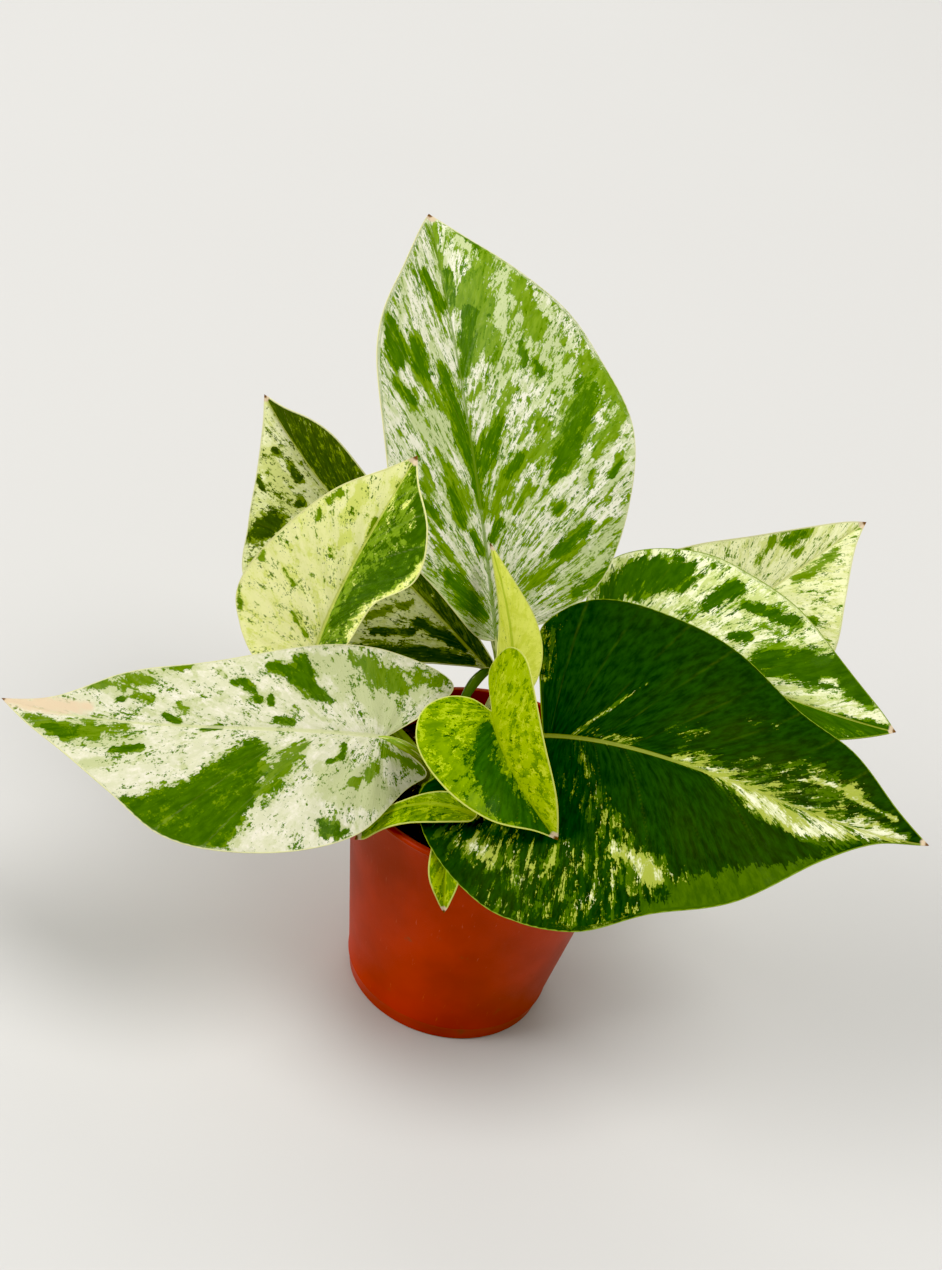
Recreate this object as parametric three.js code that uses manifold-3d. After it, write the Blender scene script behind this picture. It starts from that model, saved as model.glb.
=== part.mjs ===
// A marble queen pothos in a 9 cm nursery pot: four short rooted vines stand in the soil and carry
// eleven heart-shaped, cream-marbled leaves on bent stalks. Millimetres, +Z up. The origin is the middle
// of the pot's flat underside, and the leaves' best side faces -Y.
import * as THREE from "three";
import { mergeVertices } from "three/addons/utils/BufferGeometryUtils.js";
import Module from "manifold-3d";

const wasm = await Module();
wasm.setup();

// Driving dimensions
const POT_HEIGHT = 80;
const RIM_RADIUS = 45;
const BASE_RADIUS = 31;
const WALL = 1.4;
const FLOOR = 1.6;
const BASE_EDGE = 1; // the bevel round the underside
const LIP_RADIUS = 1.1; // the rolled lip's section
const LIP_STEPS = 4;
const LIP_HEIGHT = 3;
const DRAIN_HOLES = 8;
const DRAIN_RADIUS = 3;
const DRAIN_CIRCLE = 19;
const POT_SIDES = 48;
const SOIL_TOP = 70;
const SOIL_SIDES = 32;
const SOIL_RINGS = 6;
const SOIL_RELIEF = 1.1;
const SOIL_EDGE = 3; // the width over which the relief fades at the pot's wall
const SOIL_FOOT_STEPS = 4;
const GAP = 0.3;
const BLADE_THICKNESS = 0.8;
const VEIN_START_POWER = 1.6; // how late along the rib the side veins leave it
const VEIN_SWEEP = 0.35; // how strongly the side veins bend forward
const VEIN_SWEEP_FROM = 0.3; // the share of the margin over which the bend grows from none
const STALK_RADIUS = 1.6;
const STALK_SINK = 0.6; // how far a stalk ends below its blade's upper face
const STALK_SIDES = 8;
const STALK_STEPS = 9;
const VINE_STEPS = 7;
const JOINT_SWELLING = 1.2; // a vine's radius at a leaf joint, over its own radius
const JOINT_STEPS = 4;
const JOINT_FLATNESS = 0.6; // a leaf joint's height, over its width
const JOINT_DROP = 5; // how far a leaf joint lies below the vine's end
const HOLE_SIDES = 12;
const LARGE_LEAF = 60; // a rib over this length gets the finer grid
const FINE_GRID = [20, 4]; // stations along the margin, rings from the rib to the margin
const PLAIN_GRID = [14, 3];

const COLOURS = {
  pot: 0xb4431f,
  soil: 0x2a1d16,
  vine: 0x7f9a3c,
  marbled: 0xc9d3a4,
  green: 0x2f6b1c,
  young: 0xa4bd3a,
};
const ROUGHNESS = { pot: 0.45, soil: 0.95, vine: 0.5, leaf: 0.4 };

const MERGE_DISTANCE = 1e-3;
const TINY = 1e-6;

const vector = ([x, y, z]) => new THREE.Vector3(x, y, z);
const radians = THREE.MathUtils.degToRad;

// Solids
function solidFrom(geometry) {
  const bare = new THREE.BufferGeometry();
  bare.setAttribute("position", geometry.getAttribute("position"));
  bare.setIndex(geometry.getIndex());
  const merged = mergeVertices(bare, MERGE_DISTANCE);
  const index = [];
  const source = merged.index.array;
  for (let i = 0; i < source.length; i += 3) {
    const [a, b, c] = [source[i], source[i + 1], source[i + 2]];
    if (a !== b && b !== c && a !== c) index.push(a, b, c);
  }
  return new wasm.Manifold(
    new wasm.Mesh({
      numProp: 3,
      vertProperties: new Float32Array(merged.attributes.position.array),
      triVerts: new Uint32Array(index),
    }),
  );
}

function meshFrom(name, solid, colour, roughness) {
  const { vertProperties, triVerts } = solid.getMesh();
  const geometry = new THREE.BufferGeometry();
  geometry.setAttribute("position", new THREE.BufferAttribute(vertProperties, 3));
  geometry.setIndex(new THREE.BufferAttribute(triVerts, 1));
  geometry.computeVertexNormals();
  const material = new THREE.MeshStandardMaterial({ color: colour, roughness, metalness: 0 });
  const mesh = new THREE.Mesh(geometry, material);
  mesh.name = name;
  return mesh;
}

function tube(path, radius, sides, steps) {
  const section = new THREE.Shape();
  section.absarc(0, 0, radius, 0, 2 * Math.PI, false);
  const geometry = new THREE.ExtrudeGeometry(section, {
    steps,
    curveSegments: sides / 2,
    bevelEnabled: false,
    extrudePath: path,
  });
  return solidFrom(geometry);
}

const bezier = (points) => new THREE.CubicBezierCurve3(...points.map(vector));

// Pot and soil
const wallRadius = (z) => BASE_RADIUS + ((RIM_RADIUS - LIP_RADIUS - BASE_RADIUS) * z) / POT_HEIGHT;

// The lip's rounded outer side, from the foot of its bead up to its crown.
function lipArc() {
  const points = [];
  for (let i = 0; i <= LIP_STEPS; i++) {
    const turn = (Math.PI / 2) * ((2 * i) / LIP_STEPS - 1);
    const out = LIP_RADIUS * Math.cos(turn);
    points.push([RIM_RADIUS - LIP_RADIUS + out, POT_HEIGHT - LIP_RADIUS + LIP_RADIUS * Math.sin(turn)]);
  }
  return points;
}

function makePot() {
  const lipFoot = POT_HEIGHT - LIP_HEIGHT;
  const outline = [
    [0, 0],
    [BASE_RADIUS - BASE_EDGE, 0],
    [BASE_RADIUS, BASE_EDGE],
    [wallRadius(lipFoot), lipFoot],
    ...lipArc(),
    [wallRadius(POT_HEIGHT) - WALL, POT_HEIGHT - LIP_RADIUS / 2],
    [wallRadius(FLOOR) - WALL, FLOOR],
    [0, FLOOR],
  ].map(([r, z]) => new THREE.Vector2(r, z));
  const lathe = new THREE.LatheGeometry(outline, POT_SIDES).rotateX(Math.PI / 2);
  let pot = solidFrom(lathe);
  for (let i = 0; i < DRAIN_HOLES; i++) {
    const turn = (2 * Math.PI * i) / DRAIN_HOLES;
    const hole = new THREE.CylinderGeometry(DRAIN_RADIUS, DRAIN_RADIUS, 3 * FLOOR, HOLE_SIDES);
    hole.rotateX(Math.PI / 2);
    hole.translate(DRAIN_CIRCLE * Math.cos(turn), DRAIN_CIRCLE * Math.sin(turn), 0);
    pot = pot.subtract(solidFrom(hole));
  }
  return pot;
}

// The crumbs of the soil's surface: a sum of waves, each with its radians per mm along X and Y.
const CRUMB_WAVES = [
  { share: 0.35, alongX: 0.31, alongY: 0.12, phase: 1.3 },
  { share: 0.3, alongX: -0.15, alongY: 0.45, phase: 0.2 },
  { share: 0.35, alongX: 0.9, alongY: -0.7, phase: 0.4 },
];

function crumble(x, y) {
  let height = 0;
  for (const { share, alongX, alongY, phase } of CRUMB_WAVES) {
    height += SOIL_RELIEF * share * Math.sin(alongX * x + alongY * y + phase);
  }
  return height;
}

function makeSoil(vines) {
  const floor = FLOOR + GAP;
  const side = (z) => wallRadius(z) - WALL - GAP;
  const outline = [new THREE.Vector2(0, floor), new THREE.Vector2(side(floor), floor)];
  for (let i = 0; i <= SOIL_RINGS; i++) {
    const inward = i / SOIL_RINGS;
    outline.push(new THREE.Vector2(side(SOIL_TOP) * (1 - inward), SOIL_TOP));
  }
  const lathe = new THREE.LatheGeometry(outline, SOIL_SIDES).rotateX(Math.PI / 2);
  const position = lathe.getAttribute("position");
  for (let i = 0; i < position.count; i++) {
    if (position.getZ(i) < SOIL_TOP - SOIL_RELIEF) continue;
    const [x, y] = [position.getX(i), position.getY(i)];
    const edge = Math.min(1, (side(SOIL_TOP) - Math.hypot(x, y)) / SOIL_EDGE);
    position.setZ(i, SOIL_TOP + edge * crumble(x, y));
  }
  let soil = solidFrom(lathe);
  for (const { path, radius } of vines) {
    const clear = (radius + GAP) / Math.cos(Math.PI / STALK_SIDES);
    soil = soil.subtract(tube(bezier(path), clear, STALK_SIDES, VINE_STEPS));
    const foot = new THREE.SphereGeometry(clear, STALK_SIDES, SOIL_FOOT_STEPS);
    foot.translate(...path[0]);
    soil = soil.subtract(solidFrom(foot));
  }
  return soil;
}

// Vines: each is a rooted cutting with a swollen joint where its leaf stalks clasp it.
const VINES = [
  { name: "vine_back", radius: 3, path: [[0, 12, 58], [-2, 12, 68], [-5, 13, 76], [-8, 15, 84]] },
  { name: "vine_right", radius: 3, path: [[16, 8, 58], [17, 9, 68], [18, 10, 78], [20, 11, 86]] },
  { name: "vine_left", radius: 2.8, path: [[-16, -4, 58], [-17, -4, 64], [-18, -5, 71], [-20, -6, 78]] },
  { name: "vine_front", radius: 2.6, path: [[2, -14, 58], [1, -15, 66], [0, -16, 74], [-2, -17, 82]] },
];

function makeVine({ path, radius }) {
  const curve = bezier(path);
  const joint = new THREE.SphereGeometry(radius * JOINT_SWELLING, STALK_SIDES, JOINT_STEPS);
  joint.scale(1, 1, JOINT_FLATNESS);
  joint.translate(...curve.getPointAt(1 - JOINT_DROP / curve.getLength()).toArray());
  return tube(curve, radius, STALK_SIDES, VINE_STEPS).add(solidFrom(joint));
}

// Leaves
// rib: the midrib from the stalk to the tip, as a bezier curve
// side: the way the right half spreads, seen on the upper face with the tip up
// fold, tipFold: how far each half [left, right] rises from flat at the base and at the tip, in degrees
// curl: how each half bends on its way to the margin, in degrees per 10 mm
// sink: how far the lobes drop, in mm at 10 mm behind the base
// wave: the height in mm of the margin's waves, their number and their phase in turns
// left, right: the margin, in mm along the rib and out from it, from the notch round the lobe to the tip
// stalk: the first three points of the stalk's centre line, which ends just under the blade's base
const LEAVES = [
  {
    name: "leaf_tall",
    colour: COLOURS.marbled,
    rib: [[-10, 22, 112], [-25, 34, 152], [-43, 51, 190], [-63, 87, 212]],
    side: [0.88, 0.4, -0.25],
    fold: [20, 8],
    curl: [2, -3],
    sink: 1,
    wave: [1.6, 2.5, 0.1],
    left: [[4, 9], [20, 22], [36, 35], [57, 41], [79, 38], [95, 31], [110, 19], [122, 9]],
    right: [[2, 10], [5, 24], [14, 39], [32, 50], [58, 56], [82, 52], [100, 44], [115, 26], [127, 9]],
    stalk: [[-8, 17.3, 84.8], [-5, 18, 94], [-4, 19, 103]],
  },
  {
    name: "leaf_back_left",
    colour: COLOURS.marbled,
    rib: [[-11, 23, 101], [-42, 43, 112], [-76, 60, 122], [-103, 83, 141]],
    side: [0.74, 0.62, 0.25],
    fold: [6, 95],
    tipFold: [6, 78],
    curl: [-3, -3],
    wave: [1, 2, 0],
    left: [[4, 5], [10, 12.5], [24, 29], [46, 42], [66, 41], [80, 29], [94, 16], [107, 6]],
    right: [[-3, 6], [6, 11], [24, 15], [50, 21], [70, 23], [84, 21], [96, 15], [108, 6]],
    stalk: [[-12.5, 13, 78], [-16, 14, 86], [-17, 17, 96]],
  },
  {
    name: "leaf_young_left",
    colour: COLOURS.young,
    rib: [[-62.4, 12, 94], [-60.3, 10, 123], [-49.3, -1, 155.6], [-43.3, 2, 176.4]],
    side: [0.97, -0.19, -0.12],
    fold: [5, 40],
    curl: [-3, 0],
    wave: [0.8, 2, 0.2],
    left: [[-7, 7], [-8, 17], [1, 25], [13, 29], [38, 23.5], [62, 15], [78, 5]],
    right: [[4, 9], [20, 12.5], [43, 16], [63, 24.5], [75, 18.5], [81, 6]],
    stalk: [[-20, -1.4, 74], [-32, 9, 84], [-54, 10, 87]],
  },
  {
    name: "leaf_left",
    colour: COLOURS.marbled,
    rib: [[-33, -19, 97], [-67, -35, 103], [-107, -43, 90], [-143, -30, 83]],
    side: [0, 0.92, 0.39],
    fold: [4, 8],
    curl: [-4, -5],
    wave: [1.4, 2.5, 0.3],
    left: [
      [-6, 4], [-12, 10], [-5, 16], [9, 30], [26, 37], [44, 38], [60, 34], [74, 23], [90, 12],
      [106, 4],
    ],
    right: [[-10, 7], [-20, 15], [-22, 21], [-12, 26], [8, 28], [35, 26], [58, 21], [80, 15], [99, 5]],
    stalk: [[-22.3, -8.5, 78.5], [-16, -17, 88], [-23, -20, 97]],
  },
  {
    name: "leaf_spear",
    colour: COLOURS.young,
    rib: [[-2, -3, 113], [-4, 6, 125], [-12, 14, 136], [-19, 26, 142]],
    side: [0.8, 0.5, -0.3],
    fold: [30, 25],
    left: [[2, 6], [8, 11], [22, 7], [34, 4]],
    right: [[1, 6], [10, 9], [20, 8], [32, 4]],
    stalkRadius: 1.4,
    stalk: [[-2.7, 10.2, 79], [-1, 3, 90], [-1, -6, 103]],
  },
  {
    name: "leaf_centre",
    colour: COLOURS.young,
    rib: [[-6, -17.5, 114.5], [-1, -30.5, 111.5], [9, -42.5, 106.5], [21, -46.5, 98.5]],
    side: [-0.85, -0.35, -0.35],
    fold: [62, 8],
    curl: [0, 3],
    wave: [0.5, 2, 0],
    left: [[-9, 2], [-12, 6], [-9, 17], [2, 24], [14, 23], [26, 17], [36, 10]],
    right: [[-5, 5], [-6, 12], [-2, 19], [8, 23], [20, 20], [30, 13], [38, 4]],
    stalkRadius: 1.4,
    stalk: [[-1, -15, 83], [-1, -12, 94], [-3, -13, 105]],
  },
  {
    name: "leaf_right",
    colour: COLOURS.green,
    rib: [[10, -15, 109], [47, -20, 124], [88, -28, 110], [124, -14, 106]],
    side: [0, -0.88, -0.47],
    fold: [6, 6],
    curl: [-5, -4],
    sink: -0.5,
    wave: [1.6, 2, 0.4],
    left: [[-3, 14], [-6, 28], [-7, 41], [5, 51], [26, 47], [48, 42], [70, 31], [90, 23], [106, 9]],
    right: [
      [-9, 4.5], [-20, 11], [-31, 20], [-29, 33], [-17, 47], [0, 56], [26, 56], [46, 45], [65, 34],
      [84, 14], [100, 3],
    ],
    stalkRadius: 2,
    stalk: [[15.8, 4.8, 80], [11, -3, 90], [8, -10, 101]],
  },
  {
    name: "leaf_mid_right",
    colour: COLOURS.green,
    rib: [[21, 33, 111], [47, 22, 127], [82, 12, 122], [112, 24, 116]],
    side: [0, -0.78, -0.62],
    fold: [4, 20],
    curl: [-3, -4],
    wave: [1.2, 2, 0],
    left: [[-8, 12], [-6, 28], [4, 35], [22, 37], [38, 33], [56, 27], [72, 18], [88, 7]],
    right: [[-6, 8], [-6, 18], [6, 25], [26, 27], [46, 22], [66, 13], [82, 6]],
    stalk: [[20, 13.5, 86.5], [20, 22, 96], [19, 29, 104]],
  },
  {
    name: "leaf_back_right",
    colour: COLOURS.marbled,
    rib: [[40, 48, 98], [57, 57, 118], [75, 73, 134], [93, 88, 149]],
    side: [0.62, -0.3, -0.68],
    fold: [12, 12],
    curl: [-3, -3],
    wave: [1.2, 2.5, 0.5],
    left: [[-6, 10], [0, 26], [14, 33], [32, 27], [50, 18], [66, 10], [78, 4]],
    right: [[-6, 10], [-2, 24], [14, 32], [34, 34], [50, 28], [64, 16], [76, 5]],
    stalk: [[23.9, 8.8, 81], [30, 17, 88], [38, 35, 90]],
  },
  {
    name: "leaf_curled",
    colour: COLOURS.young,
    rib: [[-2, -41, 95], [-15, -39, 97], [-28, -31, 84.5], [-34, -39, 74]],
    side: [0.1, 0.8, 0.6],
    fold: [10, 10],
    left: [[2, 3], [12, 6], [26, 6], [38, 4]],
    right: [[2, 3], [10, 4], [24, 2], [36, 2]],
    stalkRadius: 1.2,
    stalk: [[-5.4, -17.7, 79], [-13, -11, 103], [-10, -25, 110]],
  },
  {
    name: "leaf_small_front",
    colour: COLOURS.young,
    rib: [[-9, -34, 81], [-8, -45, 85.5], [-6, -52, 78], [-4, -51, 66.5]],
    side: [-1, 0.1, 0],
    fold: [25, 25],
    left: [[2, 3], [8, 4.5], [16, 5], [24, 2]],
    right: [[2, 3], [8, 4.5], [16, 5], [24, 2]],
    stalkRadius: 1.1,
    stalk: [[-3, -19.6, 76], [-8, -24, 80], [-10, -29, 79]],
  },
];
const FLAT = [0, 0];
const STILL = [0, 0, 0];

class Blade {
  constructor({ rib, side, fold, tipFold = fold, curl = FLAT, sink = 0, wave = STILL, left, right }) {
    this.rib = bezier(rib);
    this.length = this.rib.getLength();
    this.side = vector(side);
    this.fold = fold.map(radians);
    this.tipFold = tipFold.map(radians);
    this.curl = curl.map((degrees) => radians(degrees) / 10);
    this.sink = sink;
    this.wave = wave;
    this.margins = [left, right].map((points) => {
      const ends = [[0, 0], ...points, [this.length, 0]];
      return new THREE.SplineCurve(ends.map(([x, y]) => new THREE.Vector2(x, y)));
    });
  }

  // The rib's place and its side and face directions, x mm from the base.
  frameAt(x) {
    const along = THREE.MathUtils.clamp(x / this.length, 0, 1);
    const tangent = this.rib.getTangentAt(along);
    const place = this.rib.getPointAt(along).addScaledVector(tangent, Math.min(x, 0));
    const side = this.side.clone().addScaledVector(tangent, -this.side.dot(tangent)).normalize();
    const face = side.clone().cross(tangent);
    return { along, place, side, face };
  }

  foldAt(half, along) {
    return THREE.MathUtils.lerp(this.fold[half], this.tipFold[half], along);
  }

  // The point x mm along the rib and y mm out on one half, raised along the blade's own normal.
  pointAt(half, x, y, raise) {
    const { along, place, side, face } = this.frameAt(x);
    const outward = half === 0 ? -1 : 1;
    const fold = this.foldAt(half, along);
    const curl = this.curl[half] || TINY;
    const slope = fold + curl * y;
    const across = (Math.sin(slope) - Math.sin(fold)) / curl;
    const height = (Math.cos(fold) - Math.cos(slope)) / curl - this.sink * (Math.min(x, 0) / 10) ** 2;
    let normal = new THREE.Vector2(-outward * Math.sin(slope), Math.cos(slope));
    if (y < TINY) {
      const [l, r] = [this.foldAt(0, along), this.foldAt(1, along)];
      normal = new THREE.Vector2((Math.sin(l) - Math.sin(r)) / 2, (Math.cos(l) + Math.cos(r)) / 2);
      normal.divideScalar(normal.lengthSq());
    }
    return place
      .addScaledVector(side, outward * across + raise * normal.x)
      .addScaledVector(face, height + raise * normal.y);
  }

  // Rows of points along the side veins of one half, from the rib to the margin.
  grid(half, stations, rings, depth) {
    const rows = [];
    for (let i = 0; i <= stations; i++) {
      const u = i / stations;
      const edge = this.margins[half].getPointAt(u);
      const start = this.length * u ** VEIN_START_POWER;
      const bend = 1 + VEIN_SWEEP * Math.min(1, u / VEIN_SWEEP_FROM);
      const [height, count, phase] = this.wave;
      const swing = height * Math.sin(Math.PI * u) * Math.sin(2 * Math.PI * (count * u + phase));
      const row = [];
      for (let j = 0; j <= rings; j++) {
        const v = j / rings;
        const x = start + (edge.x - start) * v ** bend;
        row.push(this.pointAt(half, x, edge.y * v, swing * v * v - depth));
      }
      rows.push(row);
    }
    return rows;
  }

  // A closed blade of even thickness, split into triangles alike on both faces.
  solid(stations, rings) {
    const corners = [];
    const add = (...points) => points.forEach((p) => corners.push(p.x, p.y, p.z));
    for (const half of [0, 1]) {
      const top = this.grid(half, stations, rings, 0);
      const under = this.grid(half, stations, rings, BLADE_THICKNESS);
      const facing = (a, b, c) => (half === 0 ? add(a, b, c) : add(a, c, b));
      for (let i = 0; i < stations; i++) {
        for (let j = 0; j < rings; j++) {
          facing(top[i][j], top[i + 1][j + 1], top[i][j + 1]);
          facing(top[i][j], top[i + 1][j], top[i + 1][j + 1]);
          facing(under[i][j], under[i][j + 1], under[i + 1][j + 1]);
          facing(under[i][j], under[i + 1][j + 1], under[i + 1][j]);
        }
        facing(top[i][rings], top[i + 1][rings], under[i + 1][rings]);
        facing(top[i][rings], under[i + 1][rings], under[i][rings]);
      }
    }
    const geometry = new THREE.BufferGeometry();
    geometry.setAttribute("position", new THREE.Float32BufferAttribute(corners, 3));
    return solidFrom(geometry);
  }
}

function makeLeaf(leaf) {
  const blade = new Blade(leaf);
  const [stations, rings] = blade.length > LARGE_LEAF ? FINE_GRID : PLAIN_GRID;
  const top = blade.pointAt(0, 0, 0, -STALK_SINK).toArray();
  const radius = leaf.stalkRadius ?? STALK_RADIUS;
  const stalk = tube(bezier([...leaf.stalk, top]), radius, STALK_SIDES, STALK_STEPS);
  return blade.solid(stations, rings).add(stalk);
}

const plant = new THREE.Group();
plant.add(meshFrom("pot", makePot(), COLOURS.pot, ROUGHNESS.pot));
plant.add(meshFrom("soil", makeSoil(VINES), COLOURS.soil, ROUGHNESS.soil));
for (const vine of VINES) plant.add(meshFrom(vine.name, makeVine(vine), COLOURS.vine, ROUGHNESS.vine));
for (const leaf of LEAVES) plant.add(meshFrom(leaf.name, makeLeaf(leaf), leaf.colour, ROUGHNESS.leaf));

export default plant;
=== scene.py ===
"""Looks of a potted marble queen pothos.

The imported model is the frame. Every leaf, vine, the soil and the pot get a finer piece in the same
place, with procedural finishes: cream blades marbled in greens along their side veins, striped stalks,
moist peat with perlite, and a satin terracotta-coloured nursery pot.
"""

import logging
import math
from dataclasses import dataclass, field, replace
from enum import Enum

import bmesh
import bpy
import numpy as np
from mathutils import Matrix, Vector, noise


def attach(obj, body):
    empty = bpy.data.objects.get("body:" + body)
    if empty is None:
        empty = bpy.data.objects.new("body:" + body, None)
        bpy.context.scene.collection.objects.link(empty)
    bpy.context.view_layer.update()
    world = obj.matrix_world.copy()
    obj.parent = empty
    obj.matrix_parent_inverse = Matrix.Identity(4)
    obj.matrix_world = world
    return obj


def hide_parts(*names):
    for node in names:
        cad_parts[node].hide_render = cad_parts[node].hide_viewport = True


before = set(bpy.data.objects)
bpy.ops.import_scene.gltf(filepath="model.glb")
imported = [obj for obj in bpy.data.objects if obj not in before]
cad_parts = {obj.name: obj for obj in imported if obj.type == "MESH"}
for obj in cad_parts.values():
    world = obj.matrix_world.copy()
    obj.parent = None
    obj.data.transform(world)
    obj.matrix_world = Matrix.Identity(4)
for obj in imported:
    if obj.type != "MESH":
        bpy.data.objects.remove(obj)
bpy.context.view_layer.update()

MM = 0.001
BODY = "root"
TINY = 1e-6
TURN = 2 * math.pi
ANY_ANGLE = (0, 6.28)
SPLINE_STEPS = 40
TIP_BULGE = 0.5

log = logging.getLogger("pothos")
Array = np.ndarray
Pair = tuple[float, float]
Triple = tuple[float, float, float]
Face = tuple[int, ...]
Socket = bpy.types.NodeSocket
Material = bpy.types.Material


# Curves and small sums


def unit(vectors: Array) -> Array:
    """Each row scaled to length one."""
    return vectors / np.maximum(np.linalg.norm(vectors, axis=-1, keepdims=True), 1e-12)


def smooth(low: float, high: float, value: Array) -> Array:
    """The smooth step from 0 at low to 1 at high."""
    share = np.clip((value - low) / (high - low), 0, 1)
    return share * share * (3 - 2 * share)


def hump(value: Array, width: float) -> Array:
    """A rounded hump: 1 at 0, fading over the width on both sides."""
    return np.exp(-((value / width) ** 2))


def reaches(path: Array) -> Array:
    """The distance along a line of points up to each of them."""
    return np.concatenate([[0], np.cumsum(np.linalg.norm(np.diff(path, axis=0), axis=1))])


def circle(sides: int) -> Array:
    """Even places round the unit circle, one a row."""
    turn = np.arange(sides) * TURN / sides
    return np.stack([np.cos(turn), np.sin(turn)], -1)


@dataclass(frozen=True)
class Bezier:
    """A cubic curve in space, in millimetres, that can be read by its arc length."""

    points: tuple[Triple, ...]
    samples: int = 300

    def at(self, t: Array) -> Array:
        """Finds points of the curve.

        Args:
            t: The curve's own parameter, from 0 to 1.

        Returns:
            The points in millimetres.
        """
        a, b, c, d = np.array(self.points, float)
        t = np.asarray(t, float)[..., None]
        return (1 - t) ** 3 * a + 3 * (1 - t) ** 2 * t * b + 3 * (1 - t) * t * t * c + t**3 * d

    def slope(self, t: Array) -> Array:
        """Finds the curve's direction.

        Args:
            t: The curve's own parameter, from 0 to 1.

        Returns:
            The unit tangents.
        """
        a, b, c, d = np.array(self.points, float)
        t = np.asarray(t, float)[..., None]
        return unit((1 - t) ** 2 * (b - a) + 2 * (1 - t) * t * (c - b) + t * t * (d - c))

    def table(self) -> tuple[Array, Array]:
        """The parameter and the arc length up to it, at even steps."""
        t = np.linspace(0, 1, self.samples + 1)
        return t, reaches(self.at(t))

    def length(self) -> float:
        """The arc length in millimetres."""
        return float(self.table()[1][-1])

    def along(self, distance: Array) -> tuple[Array, Array]:
        """Reads the curve by arc length.

        Args:
            distance: Millimetres from the curve's start.

        Returns:
            The points there and the unit tangents.
        """
        t, lengths = self.table()
        at = np.interp(distance, lengths, t)
        return self.at(at), self.slope(at)


def spline(points: list[Pair], shares: Array) -> Array:
    """Reads a smooth line through flat points by its arc length.

    Args:
        points: The points that the line passes through.
        shares: Where to read it, as shares of its length.

    Returns:
        The points of the line, one row each.
    """
    p = np.array(points, float)
    q = np.vstack([p[0], p, p[-1]])
    t = np.linspace(0, 1, SPLINE_STEPS, endpoint=False)[:, None]
    rows = []
    for a, b, c, d in zip(q, q[1:], q[2:], q[3:]):
        rise, run = (c - a) / 2, (d - b) / 2
        cubic = (2 * b - 2 * c + rise + run) * t**3
        rows.append(cubic + (-3 * b + 3 * c - 2 * rise - run) * t**2 + rise * t + b)
    line = np.vstack(rows + [p[-1:]])
    reach = reaches(line)
    reach /= reach[-1]
    return np.stack([np.interp(shares, reach, line[:, k]) for k in (0, 1)], -1)


# Meshes


@dataclass
class Body:
    """A mesh in the making: points in millimetres, faces, their finish number and its painted values."""

    points: Array
    faces: list[Face]
    finish: list[int]
    values: dict[str, Array] = field(default_factory=dict)

    def piece(self, name: str, materials: list[Material], sharp: float = 60) -> bpy.types.Object:
        """Makes the Blender object.

        Args:
            name: The piece's name.
            materials: The finishes, by their number.
            sharp: The angle in degrees over which an edge stays sharp.

        Returns:
            The new object, linked to the scene.
        """
        mesh = bpy.data.meshes.new(name)
        mesh.from_pydata((self.points * MM).tolist(), [], self.faces)
        for key, value in self.values.items():
            single = value.ndim == 1
            slot = mesh.attributes.new(key, "FLOAT" if single else "FLOAT_VECTOR", "POINT")
            slot.data.foreach_set("value" if single else "vector", value.astype(np.float32).ravel())
        for material in materials:
            mesh.materials.append(material)
        mesh.polygons.foreach_set("material_index", np.array(self.finish, np.int32))
        mesh.shade_smooth()
        mesh.set_sharp_from_angle(angle=math.radians(sharp))
        mesh.update()
        return link(name, mesh)


def link(name: str, data: bpy.types.ID) -> bpy.types.Object:
    """Puts data into the scene.

    Args:
        name: The new object's name.
        data: A mesh, a light or a camera.

    Returns:
        The object.
    """
    made = bpy.data.objects.new(name, data)
    bpy.context.scene.collection.objects.link(made)
    return made


def install(piece: bpy.types.Object, node: str, slot: str) -> None:
    """Hangs a finished piece on the frame.

    Args:
        piece: The piece, already in place.
        node: The CAD node that it stands for.
        slot: The record's material slot; not used.
    """
    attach(piece, BODY)
    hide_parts(node)
    log.info("%s: %d faces for %s", piece.name, len(piece.data.polygons), node)


def corners(loop: Face, flip: bool = False) -> Face:
    """A face's corners without repeats, the other way round if it is to flip."""
    ring = [int(v) for k, v in enumerate(loop) if v != loop[k - 1]]
    return tuple(reversed(ring)) if flip else tuple(ring)


def strips(rings: list[list[int]]) -> list[Face]:
    """Joins neighbouring rings of points with faces.

    Args:
        rings: The point numbers of each ring. A tip repeats its one point.

    Returns:
        The faces, facing out where the rings turn left and follow one another upwards.
    """
    faces = []
    for low, high in zip(rings, rings[1:]):
        for j in range(len(low)):
            k = (j + 1) % len(low)
            faces.append(corners((low[j], low[k], high[k], high[j])))
    return faces


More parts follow.
